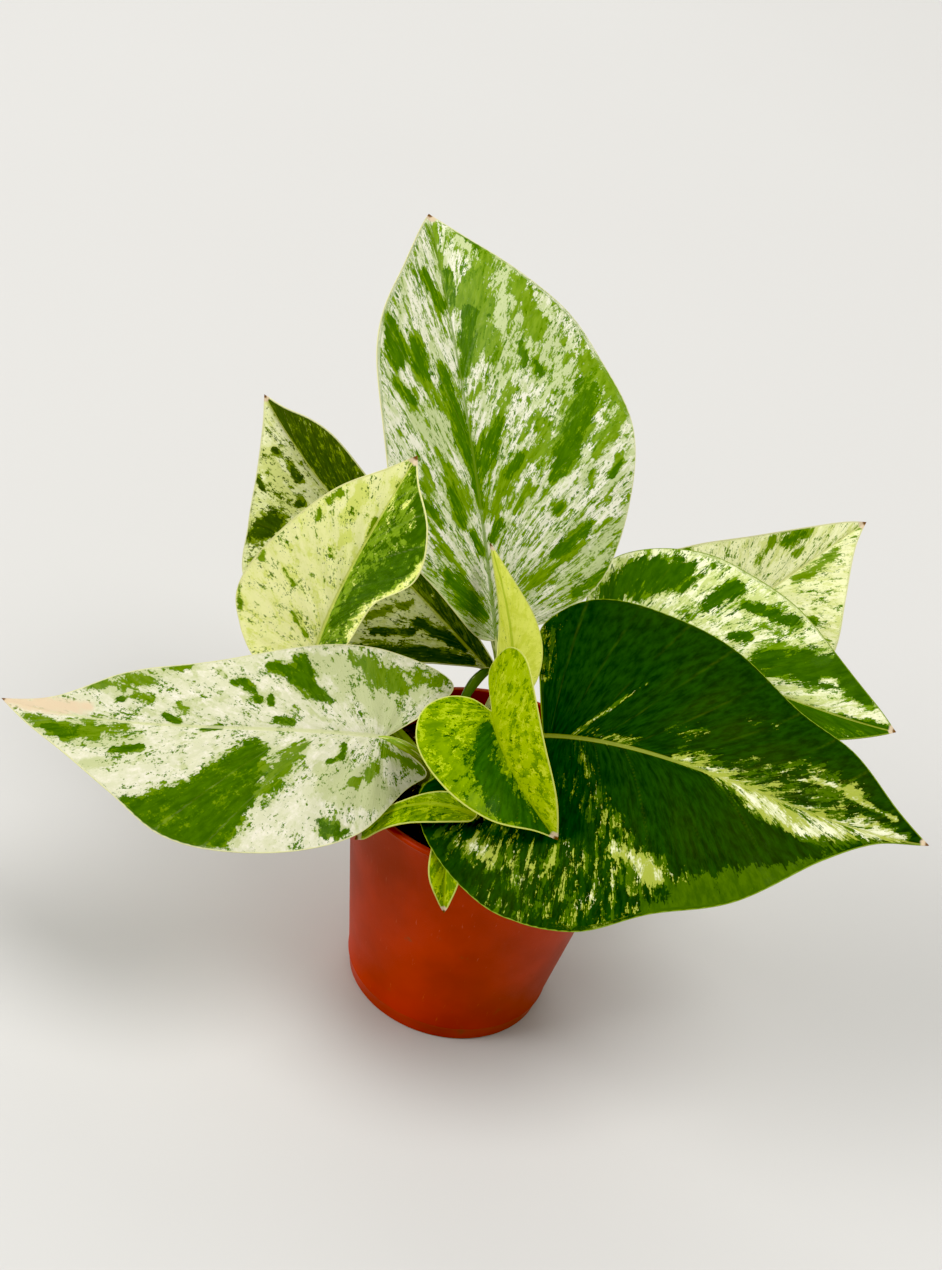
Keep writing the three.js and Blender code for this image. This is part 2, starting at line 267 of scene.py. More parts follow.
def sweep(path: Array, rings: Array, hint: Triple) -> Body:
    """Sweeps a changing section along a path and rounds both ends shut.

    Args:
        path: The centre line, one point a row.
        rings: The section's radius at each path point (rows) and round it (columns).
        hint: The way that the section's first column faces.

    Returns:
        The closed body, with its stem values: the place round the section and along the path.
    """
    count, sides = rings.shape
    tangent = unit(np.gradient(path, axis=0))
    first = np.array(hint, float)
    axes = []
    for t in tangent:
        first = unit(first - t * (first @ t))
        axes.append((first, np.cross(t, first)))
    flat = circle(sides)
    points = path[:, None] + np.einsum("sk,nkd->nsd", flat, np.array(axes)) * rings[..., None]
    along = reaches(path)
    stem = np.concatenate([flat[None] * rings[..., None], np.repeat(along[:, None, None], sides, 1)], -1)
    grid = np.arange(count * sides).reshape(count, sides)
    start, end = np.repeat([[count * sides], [count * sides + 1]], sides, 1)
    bulge = rings.mean(1) * TIP_BULGE
    tips = [path[0] - tangent[0] * bulge[0], path[-1] + tangent[-1] * bulge[-1]]
    cloud = np.vstack([points.reshape(-1, 3), tips])
    marks = np.vstack([stem.reshape(-1, 3), [[0, 0, along[0]], [0, 0, along[-1]]]])
    faces = strips([start, *grid, end])
    return Body(cloud, faces, [0] * len(faces), {"stem": marks})


def join(bodies: list[Body]) -> Body:
    """Puts several bodies into one.

    Args:
        bodies: Bodies with the same painted values.

    Returns:
        The one body.
    """
    offset = 0
    faces, finish = [], []
    for body in bodies:
        faces += [tuple(v + offset for v in face) for face in body.faces]
        finish += body.finish
        offset += len(body.points)
    values = {key: np.concatenate([b.values[key] for b in bodies]) for key in bodies[0].values}
    return Body(np.vstack([b.points for b in bodies]), faces, finish, values)


@dataclass
class Lathe:
    """Rings of points round the upright axis, joined into one skin."""

    sides: int
    points: list[Triple] = field(default_factory=list)
    rings: list[list[int]] = field(default_factory=list)

    def round(self, radius: float) -> list[Pair]:
        """The places of one ring seen from above, or the middle alone."""
        return [(float(x), float(y)) for x, y in circle(self.sides if radius else 1) * radius]

    def ring(self, places: list[Triple]) -> None:
        """Adds a ring.

        Args:
            places: Its points, or one point for the whole ring.
        """
        first = len(self.points)
        self.points += places
        self.rings.append([first + k % len(places) for k in range(self.sides)])

    def body(self, **values: Array) -> Body:
        """The skin, with the painted values given."""
        faces = strips(self.rings)
        return Body(np.array(self.points, float), faces, [0] * len(faces), values)


# Finishes


class Board:
    """A material's node board, with short calls for the nodes that the finishes use."""

    def __init__(self, name: str) -> None:
        """Starts an empty board.

        Args:
            name: The finish's name.
        """
        self.material = bpy.data.materials.new(name)
        self.material.use_nodes = True
        self.tree = self.material.node_tree
        self.tree.nodes.clear()

    def add(self, kind: str, inputs: dict, output: str | int = 0, **settings: str) -> Socket:
        """Adds a node.

        Args:
            kind: The node's type without the leading ShaderNode.
            inputs: Constants or linked sockets, by the input's name or number.
            output: The output that is wanted.
            settings: The node's own options.

        Returns:
            That output.
        """
        node = self.tree.nodes.new("ShaderNode" + kind)
        for key, value in settings.items():
            setattr(node, key, value)
        for key, value in inputs.items():
            if isinstance(value, Socket):
                self.tree.links.new(value, node.inputs[key])
            else:
                node.inputs[key].default_value = value
        return node.outputs[output]

    def value(self, name: str, part: str = "Vector") -> Socket:
        """The painted value of that name."""
        return self.add("Attribute", {}, part, attribute_name=name)

    def place(self) -> Socket:
        """The place on the object, in metres."""
        return self.add("TexCoord", {}, "Object")

    def split(self, vector: Socket) -> list[Socket]:
        """The three parts of a vector."""
        return list(self.add("SeparateXYZ", {0: vector}).node.outputs)

    def scaled(self, vector: Socket, scale: Triple, shift: Triple = (0, 0, 0)) -> Socket:
        """The vector times scale plus shift."""
        return self.add("VectorMath", {0: vector, 1: scale, 2: shift}, operation="MULTIPLY_ADD")

    def noise(self, vector: Socket, detail: float = 3, rough: float = 0.55, warp: float = 0) -> Socket:
        """Cloudy noise from 0 to 1, one cell to the unit."""
        inputs = {"Vector": vector, "Scale": 1, "Detail": detail, "Roughness": rough, "Distortion": warp}
        return self.add("TexNoise", inputs)

    def grain(self, fineness: float, detail: float = 2, rough: float = 0.55, shift: float = 0) -> Socket:
        """Noise over the object, with so many cells to the metre."""
        return self.noise(self.scaled(self.place(), (fineness,) * 3, (shift,) * 3), detail, rough)

    def sum(self, operation: str, *parts: Socket | float) -> Socket:
        """One arithmetic step on numbers."""
        return self.add("Math", dict(enumerate(parts)), operation=operation)

    def step(self, value: Socket, low: float, high: float) -> Socket:
        """Adds a smooth step.

        Args:
            value: The number that is tested.
            low: Where the step gives 0.
            high: Where it gives 1, which may be below low.

        Returns:
            The step.
        """
        inputs = {"Value": value, "From Min": low, "From Max": high, "To Min": 0, "To Max": 1}
        if low > high:
            inputs.update({"From Min": high, "From Max": low, "To Min": 1, "To Max": 0})
        return self.add("MapRange", inputs, interpolation_type="SMOOTHSTEP")

    def mix(self, share: Socket | float, first: Socket | tuple, second: Socket | tuple) -> Socket:
        """A colour between first and second."""
        return self.add("Mix", {0: share, 6: first, 7: second}, 2, data_type="RGBA")

    def bump(self, height: Socket, distance: float, strength: float) -> Socket:
        """A normal roughened by the height, over a distance in metres."""
        return self.add("Bump", {"Height": height, "Distance": distance, "Strength": strength})

    def finish(self, skin: dict, glow: float = 0, light: dict | None = None) -> Material:
        """Puts the shaders on the surface.

        Args:
            skin: The inputs of the surface's own shader.
            glow: The share of the surface that lets light through.
            light: The inputs of the shader of that share, if there is one.

        Returns:
            The finished material.
        """
        shader = self.add("BsdfPrincipled", skin)
        if light:
            back = self.add("BsdfTranslucent", light)
            shader = self.add("MixShader", {0: glow, 1: shader, 2: back})
        surface = self.tree.nodes.new("ShaderNodeOutputMaterial").inputs["Surface"]
        self.tree.links.new(shader, surface)
        return self.material


def paint(red: float, green: float, blue: float) -> tuple[float, float, float, float]:
    """A colour as seen on a screen (0 to 255), turned into light shares."""
    shares = [v / 255 for v in (red, green, blue)]
    return (*[s / 12.92 if s <= 0.04045 else ((s + 0.055) / 1.055) ** 2.4 for s in shares], 1.0)


@dataclass(frozen=True)
class Cover:
    """How a tone breaks up.

    Scale is how fine its clouds are and shift where they are read. Soft is half the width of its edge, in
    levels. Strength and ragged are how much the clouds and the fine grit move that edge.
    """

    scale: float
    shift: float
    soft: float
    strength: float
    ragged: float


SAGE_COVER = Cover(0.45, 11, 0.7, 12, 5)
GREEN_COVER = Cover(0.55, 23, 0.3, 14, 7)
DARK_COVER = Cover(0.6, 37, 0.3, 14, 6)


@dataclass(frozen=True)
class LeafFinish:
    """A marbled blade: four tones, and how each breaks up along the side veins."""

    cream: tuple = paint(242, 242, 222)
    sage: tuple = paint(192, 205, 150)
    green: tuple = paint(122, 154, 40)
    dark: tuple = paint(80, 124, 14)
    deep: tuple = paint(58, 100, 8)
    rib: tuple = paint(118, 150, 52)
    margin: tuple = paint(222, 222, 168)
    under: tuple = paint(190, 200, 132)
    dry: tuple = paint(224, 204, 172)
    scorch: tuple = paint(120, 80, 40)
    gloss: float = 0.36
    matt: float = 0.62
    shine: float = 0.1
    glow: float = 0.22
    cell: float = 1.9
    length: float = 3.2
    loose: float = 0.3
    flecks: float = 0.02
    mist: float = 0.0
    ragged: float = 1.0
    rib_strength: float = 0.75
    vein_depth: float = 0.00025

    def clouds(self, board: Board, scale: float, shift: float) -> Socket:
        """Uneven cover of one size: part of it drawn out along the side veins, part of it loose.

        Args:
            board: The finish's board.
            scale: How much finer than the finish's own cell.
            shift: Where the noise is read, so that each tone gets its own.

        Returns:
            Noise round 0.
        """
        fine, long = scale / self.cell, scale / (self.cell * self.length)
        drawn = board.scaled(board.value("streak"), (fine, long, 1), (shift, shift, shift))
        drawn = board.noise(drawn, 5, 0.62, 0.5)
        free = 900 * scale / self.cell
        loose = board.scaled(board.place(), (free, free, free), (shift, 0, shift))
        loose = board.noise(loose, 5, 0.65, 0.3)
        blend = board.sum("MULTIPLY", drawn, 1 - self.loose)
        return board.sum("SUBTRACT", board.sum("MULTIPLY_ADD", loose, self.loose, blend), 0.5)

    def cover(self, board: Board, level: Socket, grit: Socket, look: Cover) -> Socket:
        """Where one tone lies.

        Args:
            board: The finish's board.
            level: The tone's painted level.
            grit: Fine clouds that fray its edge.
            look: How the tone breaks up.

        Returns:
            0 outside the tone to 1 inside it.
        """
        total = board.sum("MULTIPLY_ADD", self.clouds(board, look.scale, look.shift), look.strength, level)
        total = board.sum("MULTIPLY_ADD", grit, look.ragged * self.ragged, total)
        return board.step(total, -look.soft, look.soft)

    def ground(self, board: Board, warm: Socket) -> Socket:
        """The cream under the tones, misted with sage.

        Args:
            board: The finish's board.
            warm: Broad clouds.

        Returns:
            The colour.
        """
        cream = board.mix(board.step(warm, 0.35, 0.7), self.cream, board.mix(0.22, self.cream, self.sage))
        haze = board.sum("MULTIPLY_ADD", self.clouds(board, 0.35, 91), 1.3, self.clouds(board, 1.4, 95))
        haze = board.sum("MULTIPLY", board.step(haze, self.mist - 0.3, self.mist + 0.12), -0.6)
        return board.mix(board.sum("ADD", haze, 0.6), cream, self.sage)

    def dots(self, board: Board) -> Socket:
        """Where the small and the larger flecks lie.

        Args:
            board: The finish's board.

        Returns:
            0 between the flecks to 1 on them.
        """
        crowd = board.sum("MULTIPLY_ADD", self.clouds(board, 0.3, 71), 0.8, self.flecks)
        small = board.step(board.sum("ADD", self.clouds(board, 1.9, 61), crowd), 0.15, 0.19)
        large = board.step(board.sum("ADD", self.clouds(board, 0.95, 63), crowd), 0.175, 0.215)
        return board.sum("MAXIMUM", small, large)

    def lines(self, board: Board, colour: Socket, warm: Socket) -> Socket:
        """Adds the side veins, the rib and the pale margin.

        Args:
            board: The finish's board.
            colour: The marbled colour.
            warm: Broad clouds.

        Returns:
            The colour with its lines.
        """
        edge, rib, vein = board.split(board.value("lines"))
        faint = board.sum("MULTIPLY", board.step(warm, 0.3, 0.7), 0.12)
        veil = board.sum("MULTIPLY", board.step(vein, 0.1, 0.02), faint)
        colour = board.mix(veil, colour, self.margin)
        line = board.sum("MULTIPLY", board.step(rib, 1.1, 0.6), self.rib_strength)
        colour = board.mix(line, colour, self.rib)
        return board.mix(board.step(edge, 0.5, 0.22), colour, self.margin)

    def wear(self, board: Board, colour: Socket) -> Socket:
        """Adds the dry, scorched places.

        Args:
            board: The finish's board.
            colour: The colour of the fresh leaf.

        Returns:
            The worn colour.
        """
        worn = board.value("dry", "Fac")
        patch = board.sum("MULTIPLY_ADD", self.clouds(board, 0.5, 81), 1.6, worn)
        spots = board.sum("ADD", self.clouds(board, 0.8, 85), self.clouds(board, 0.3, 87))
        spots = board.sum("MULTIPLY", board.step(spots, 0.15, 0.24), 0.8)
        colour = board.mix(board.step(patch, 0.3, 0.8), colour, board.mix(spots, self.dry, self.scorch))
        return board.mix(board.step(worn, 1.2, 1.7), colour, self.scorch)

    def tones(self, board: Board) -> Socket:
        """The blade's colour from its painted values.

        Args:
            board: The finish's board.

        Returns:
            The colour.
        """
        streak = board.value("streak")
        dark, green, sage = board.split(board.value("tones"))
        grit = self.clouds(board, 3.2, 5)
        warm = board.noise(board.scaled(streak, (0.12, 0.05, 1), (9, 2, 0)), 2)
        leaf = board.noise(board.scaled(streak, (0.5, 0.2, 1), (21, 4, 0)), 4, 0.6)
        mid = board.mix(board.step(leaf, 0.35, 0.65), self.green, board.mix(0.55, self.green, self.dark))
        solid = board.mix(board.step(leaf, 0.3, 0.7), self.dark, self.deep)
        colour = self.ground(board, warm)
        colour = board.mix(self.cover(board, sage, grit, SAGE_COVER), colour, self.sage)
        colour = board.mix(self.cover(board, green, grit, GREEN_COVER), colour, mid)
        colour = board.mix(self.cover(board, dark, grit, DARK_COVER), colour, solid)
        fleck = board.mix(board.step(leaf, 0.4, 0.55), self.green, self.dark)
        colour = board.mix(self.dots(board), colour, fleck)
        return self.wear(board, self.lines(board, colour, warm))

    def relief(self, board: Board, strength: float) -> Socket:
        """The fine veins and cells.

        Args:
            board: The finish's board.
            strength: How much they show.

        Returns:
            The roughened normal.
        """
        streak = board.value("streak")
        fine = board.noise(board.scaled(streak, (1.6, 0.4, 1)), 3, 0.6)
        broad = board.noise(board.scaled(streak, (0.35, 0.12, 1)), 2)
        height = board.sum("MULTIPLY_ADD", board.grain(2600), 0.25, fine)
        return board.bump(board.sum("MULTIPLY_ADD", broad, 1.6, height), self.vein_depth, strength)

    def upper(self, name: str) -> Material:
        """Makes the glossy upper face.

        Args:
            name: The material's name.

        Returns:
            The material.
        """
        board = Board(name)
        colour, normal = self.tones(board), self.relief(board, 0.35)
        rough = board.sum("MULTIPLY_ADD", board.grain(120, 3), 0.22, self.gloss - 0.11)
        skin = {"Base Color": colour, "Roughness": rough, "Normal": normal}
        skin["Specular IOR Level"] = self.shine
        return board.finish(skin, self.glow, {"Color": colour, "Normal": normal})

    def lower(self, name: str) -> Material:
        """Makes the paler, matt underside.

        Args:
            name: The material's name.

        Returns:
            The material.
        """
        board = Board(name)
        colour = board.mix(0.5, self.tones(board), self.under)
        normal = self.relief(board, 0.5)
        skin = {"Base Color": colour, "Roughness": self.matt, "Normal": normal, "IOR": 1.4}
        return board.finish(skin, self.glow, {"Color": colour, "Normal": normal})


@dataclass(frozen=True)
class StemFinish:
    """A smooth stalk or vine, striped lengthwise in cream and green."""

    green: tuple = paint(116, 148, 40)
    deep: tuple = paint(74, 112, 20)
    cream: tuple = paint(216, 218, 150)
    stripes: float = 0.5
    gloss: float = 0.42
    glow: float = 0.12

    def material(self, name: str) -> Material:
        """Makes the stem's finish.

        Args:
            name: The material's name.

        Returns:
            The material.
        """
        board = Board(name)
        stem = board.value("stem")
        broad = board.noise(board.scaled(stem, (0.9, 0.9, 0.05), (3, 1, 2)), 3)
        thin = board.noise(board.scaled(stem, (2.6, 2.6, 0.1), (7, 5, 4)), 3, 0.6)
        colour = board.mix(board.step(broad, 0.4, 0.62), self.green, self.deep)
        share = board.sum("MULTIPLY_ADD", broad, 0.5, board.sum("MULTIPLY", thin, 0.5))
        low = 0.62 - 0.2 * self.stripes
        colour = board.mix(board.step(share, low, low + 0.05), colour, self.cream)
        spots = board.noise(board.scaled(stem, (1.5, 1.5, 0.9)), 3)
        colour = board.mix(board.sum("MULTIPLY", board.step(spots, 0.6, 0.75), 0.35), colour, self.deep)
        normal = board.bump(board.noise(board.scaled(stem, (3, 3, 0.25)), 3), 0.0002, 0.4)
        skin = {"Base Color": colour, "Roughness": self.gloss, "Normal": normal, "IOR": 1.42}
        return board.finish(skin, self.glow, {"Color": colour})


@dataclass(frozen=True)
class PlasticFinish:
    """Satin moulded terracotta-coloured plastic with handling scuffs and a dusting of soil."""

    shell: tuple = paint(182, 40, 6)
    shade: tuple = paint(150, 28, 4)
    dust: tuple = paint(120, 84, 62)
    scuff: tuple = paint(228, 140, 108)

    def material(self, name: str) -> Material:
        """Makes the pot's finish.

        Args:
            name: The material's name.

        Returns:
            The material.
        """
        board = Board(name)
        cloud = board.grain(28, 4)
        colour = board.mix(board.step(cloud, 0.3, 0.7), self.shell, self.shade)
        grime = board.sum("MULTIPLY_ADD", board.value("inner", "Fac"), 0.12, board.grain(160, 5, 0.65, 2))
        grime = board.step(grime, 0.64, 0.74)
        colour = board.mix(board.sum("MULTIPLY", grime, 0.45), colour, self.dust)
        scratch = board.noise(board.scaled(board.place(), (900, 900, 90), (5, 0, 0)), 3, 0.7)
        colour = board.mix(board.sum("MULTIPLY", board.step(scratch, 0.66, 0.72), 0.18), colour, self.scuff)
        rough = board.sum("MULTIPLY_ADD", cloud, 0.2, 0.36)
        rough = board.sum("MULTIPLY_ADD", grime, 0.25, rough)
        normal = board.bump(board.sum("MULTIPLY_ADD", scratch, 0.8, board.grain(2400)), 0.00008, 0.35)
        skin = {"Base Color": colour, "Roughness": rough, "Normal": normal, "Specular IOR Level": 0.22}
        return board.finish(skin)


@dataclass(frozen=True)
class EarthFinish:
    """Crumbly matter that is matt and uneven: peat, its crumbs, or perlite."""

    light: tuple
    dark: tuple
    fineness: float = 900
    rough: float = 0.92
    relief: float = 0.0008

    def material(self, name: str) -> Material:
        """Makes the finish of the matter.

        Args:
            name: The material's name.

        Returns:
            The material.
        """
        board = Board(name)
        coarse = board.grain(self.fineness, 5, 0.65)
        fine = board.grain(self.fineness * 4, 3, 0.6, 4)
        blend = board.sum("MULTIPLY_ADD", fine, 0.5, board.sum("MULTIPLY", coarse, 0.5))
        colour = board.mix(board.step(blend, 0.38, 0.64), self.dark, self.light)
        normal = board.bump(blend, self.relief, 0.8)
        return board.finish({"Base Color": colour, "Roughness": self.rough, "Normal": normal, "IOR": 1.4})


# Leaves


class Tone(Enum):
    """A mark's tone: the levels of dark, green and sage that it paints, where None keeps what is there."""

    SOLID = (2.6, 2.6, 2.6)
    DARK = (1.5, 2.3, 2.5)
    MID = (-1.6, 2.6, 2.6)
    GREEN = (None, 1.7, 2.0)
    SAGE = (None, None, 2.2)
    CREAM = (-3.2, -1.4, -0.2)
    SPECK = (0.1, 0.5, 1.4)
    DRY = (-2.4, -2.0, -2.0)


@dataclass(frozen=True)
class Mark:
    """One patch of a tone: a chain of places in blade millimetres, each (along, out, half width)."""

    tone: Tone
    chain: tuple[Triple, ...]
    softness: float = 1.2
    soft_range: Pair = (0.8, 3)

    def share(self, x: Array, y: Array) -> Array:
        """How much of the mark each blade place gets.

        Args:
            x: Millimetres along the rib.
            y: Millimetres out from it, negative on the left half.

        Returns:
            0 outside the mark to 1 inside it.
        """
        best = np.full(x.shape, -np.inf)
        for (ax, ay, aw), (bx, by, bw) in zip(self.chain, self.chain[1:]):
            span = np.array([bx - ax, by - ay])
            reach = max(float(span @ span), TINY)
            t = np.clip(((x - ax) * span[0] + (y - ay) * span[1]) / reach, 0, 1)
            width = aw + (bw - aw) * t
            soft = np.clip(self.softness * width, *self.soft_range)
            gap = np.hypot(x - ax - span[0] * t, y - ay - span[1] * t)
            best = np.maximum(best, (width - gap) / soft)
        return np.clip(0.5 + best / 2, 0, 1)


def patches(*runs: tuple) -> tuple[Mark, ...]:
    """The marks of several runs, in painting order. A run is a tone and then its chains."""
    return tuple(Mark(tone, chain) for tone, *chains in runs for chain in chains)


@dataclass(frozen=True)
class Leaf:
    """One leaf: its blade and stalk in millimetres, with its marks and finish.

    rib, side, fold, tip_fold, curl, sink, wave, left, right and stalk are the CAD blade's own. Levels are
    the dark, green and sage cover of the left and right halves where no mark lies.
    """

    name: str
    slot: str
    rib: tuple[Triple, ...]
    side: Triple
    fold: Pair
    left: tuple[Pair, ...]
    right: tuple[Pair, ...]
    stalk: tuple[Triple, ...]
    finish: LeafFinish
    stem: StemFinish
    levels: tuple[Triple, Triple]
    marks: tuple[Mark, ...] = ()
    tip_fold: Pair | None = None
    curl: Pair = (0, 0)
    sink: float = 0
    wave: Triple = (0, 0, 0)
    stalk_radius: float = 1.6
    seed: float = 0


@dataclass
class Blade:
    """The blade's own surface: where a place on the flat leaf lies in space.

    The halves meet in a rounded crease, so many millimetres wide. The leaf's curl is in degrees for each
    curl_run of millimetres. A side vein leaves the rib at its margin share to the vein_power, and bends
    towards the tip by up to vein_bend.
    """

    leaf: Leaf
    crease: float = 0.8
    curl_run: float = 10
    vein_power: float = 3.4
    vein_bend: float = 0.25
    vein_bend_range: Pair = (0.05, 0.4)
    vein_steps: int = 240

    def __post_init__(self) -> None:
        """Reads the leaf's sizes."""
        self.rib = Bezier(self.leaf.rib)
        self.length = self.rib.length()
        self.fold = np.radians(self.leaf.fold)
        self.tip_fold = np.radians(self.leaf.tip_fold or self.leaf.fold)
        self.curl = np.radians(self.leaf.curl) / self.curl_run

    def margin(self, half: int, shares: Array) -> Array:
        """The outline of one half, from the notch to the tip."""
        points = (self.leaf.left, self.leaf.right)[half]
        return spline([(0, 0), *points, (self.length, 0)], shares)

    def place(self, half: int, x: Array, y: Array, lift: Array) -> Array:
        """Finds blade places in space.

        Args:
            half: 0 for the left half, 1 for the right.
            x: Millimetres along the rib from the blade's base.
            y: Millimetres out from the rib.
            lift: Millimetres above the upper face.

        Returns:
            The points in millimetres.
        """
        along = np.clip(x / self.length, 0, 1)
        origin, tangent = self.rib.along(along * self.length)
        origin = origin + tangent * np.minimum(x, 0)[..., None]
        side = np.array(self.leaf.side, float)
        side = unit(side - tangent * (tangent @ side)[..., None])
        face = np.cross(side, tangent)
        outward = -1 if half == 0 else 1
        folds = [fold + (tip - fold) * along for fold, tip in zip(self.fold, self.tip_fold)]
        left, right = folds
        fold = folds[half]
        curl = self.curl[half] or TINY
        slope = fold + curl * y
        across = (np.sin(slope) - np.sin(fold)) / curl
        sunk = self.leaf.sink * (np.minimum(x, 0) / self.curl_run) ** 2
        height = (np.cos(fold) - np.cos(slope)) / curl - sunk
        mid = np.stack([(np.sin(left) - np.sin(right)) / 2, (np.cos(left) + np.cos(right)) / 2], -1)
        mid = mid / (mid**2).sum(-1, keepdims=True)
        own = np.stack([-outward * np.sin(slope), np.cos(slope)], -1)
        near = hump(y, self.crease)[..., None]
        normal = mid * near + own * (1 - near)
        reach = (outward * across + lift * normal[..., 0])[..., None]
        rise = (height + lift * normal[..., 1])[..., None]
        return origin + side * reach + face * rise

    def streaks(self, half: int, x: Array, y: Array) -> tuple[Array, Array]:
        """Finds the side vein that passes through each blade place.

        Args:
            half: 0 for the left half, 1 for the right.
            x: Millimetres along the rib.
            y: Millimetres out from it.

        Returns:
            The share of the margin where that vein ends, and the distance along it from the rib.
        """
        shares = np.linspace(0, 1, self.vein_steps + 1)
        start = self.length * shares**self.vein_power
        bend = 1 - self.vein_bend * smooth(*self.vein_bend_range, shares)
        found = np.ones_like(x)
        hit = np.zeros(x.shape, bool)
        before = None
        for share, (ex, ey), foot, power in zip(shares, self.margin(half, shares), start, bend):
            out = y / max(ey, TINY)
            line = np.where(out <= 1, foot + (ex - foot) * np.minimum(out, 1) ** power, np.nan)
            if before is not None:
                crossed = ~hit & (line >= x) & ~np.isnan(line)
                gap = np.where(np.isnan(before), 1, (x - before) / np.maximum(line - before, TINY))
                found = np.where(crossed, share - (1 - np.clip(gap, 0, 1)) / self.vein_steps, found)
                hit |= crossed
            before = line
        return found, np.hypot(x - self.length * found**self.vein_power, y)


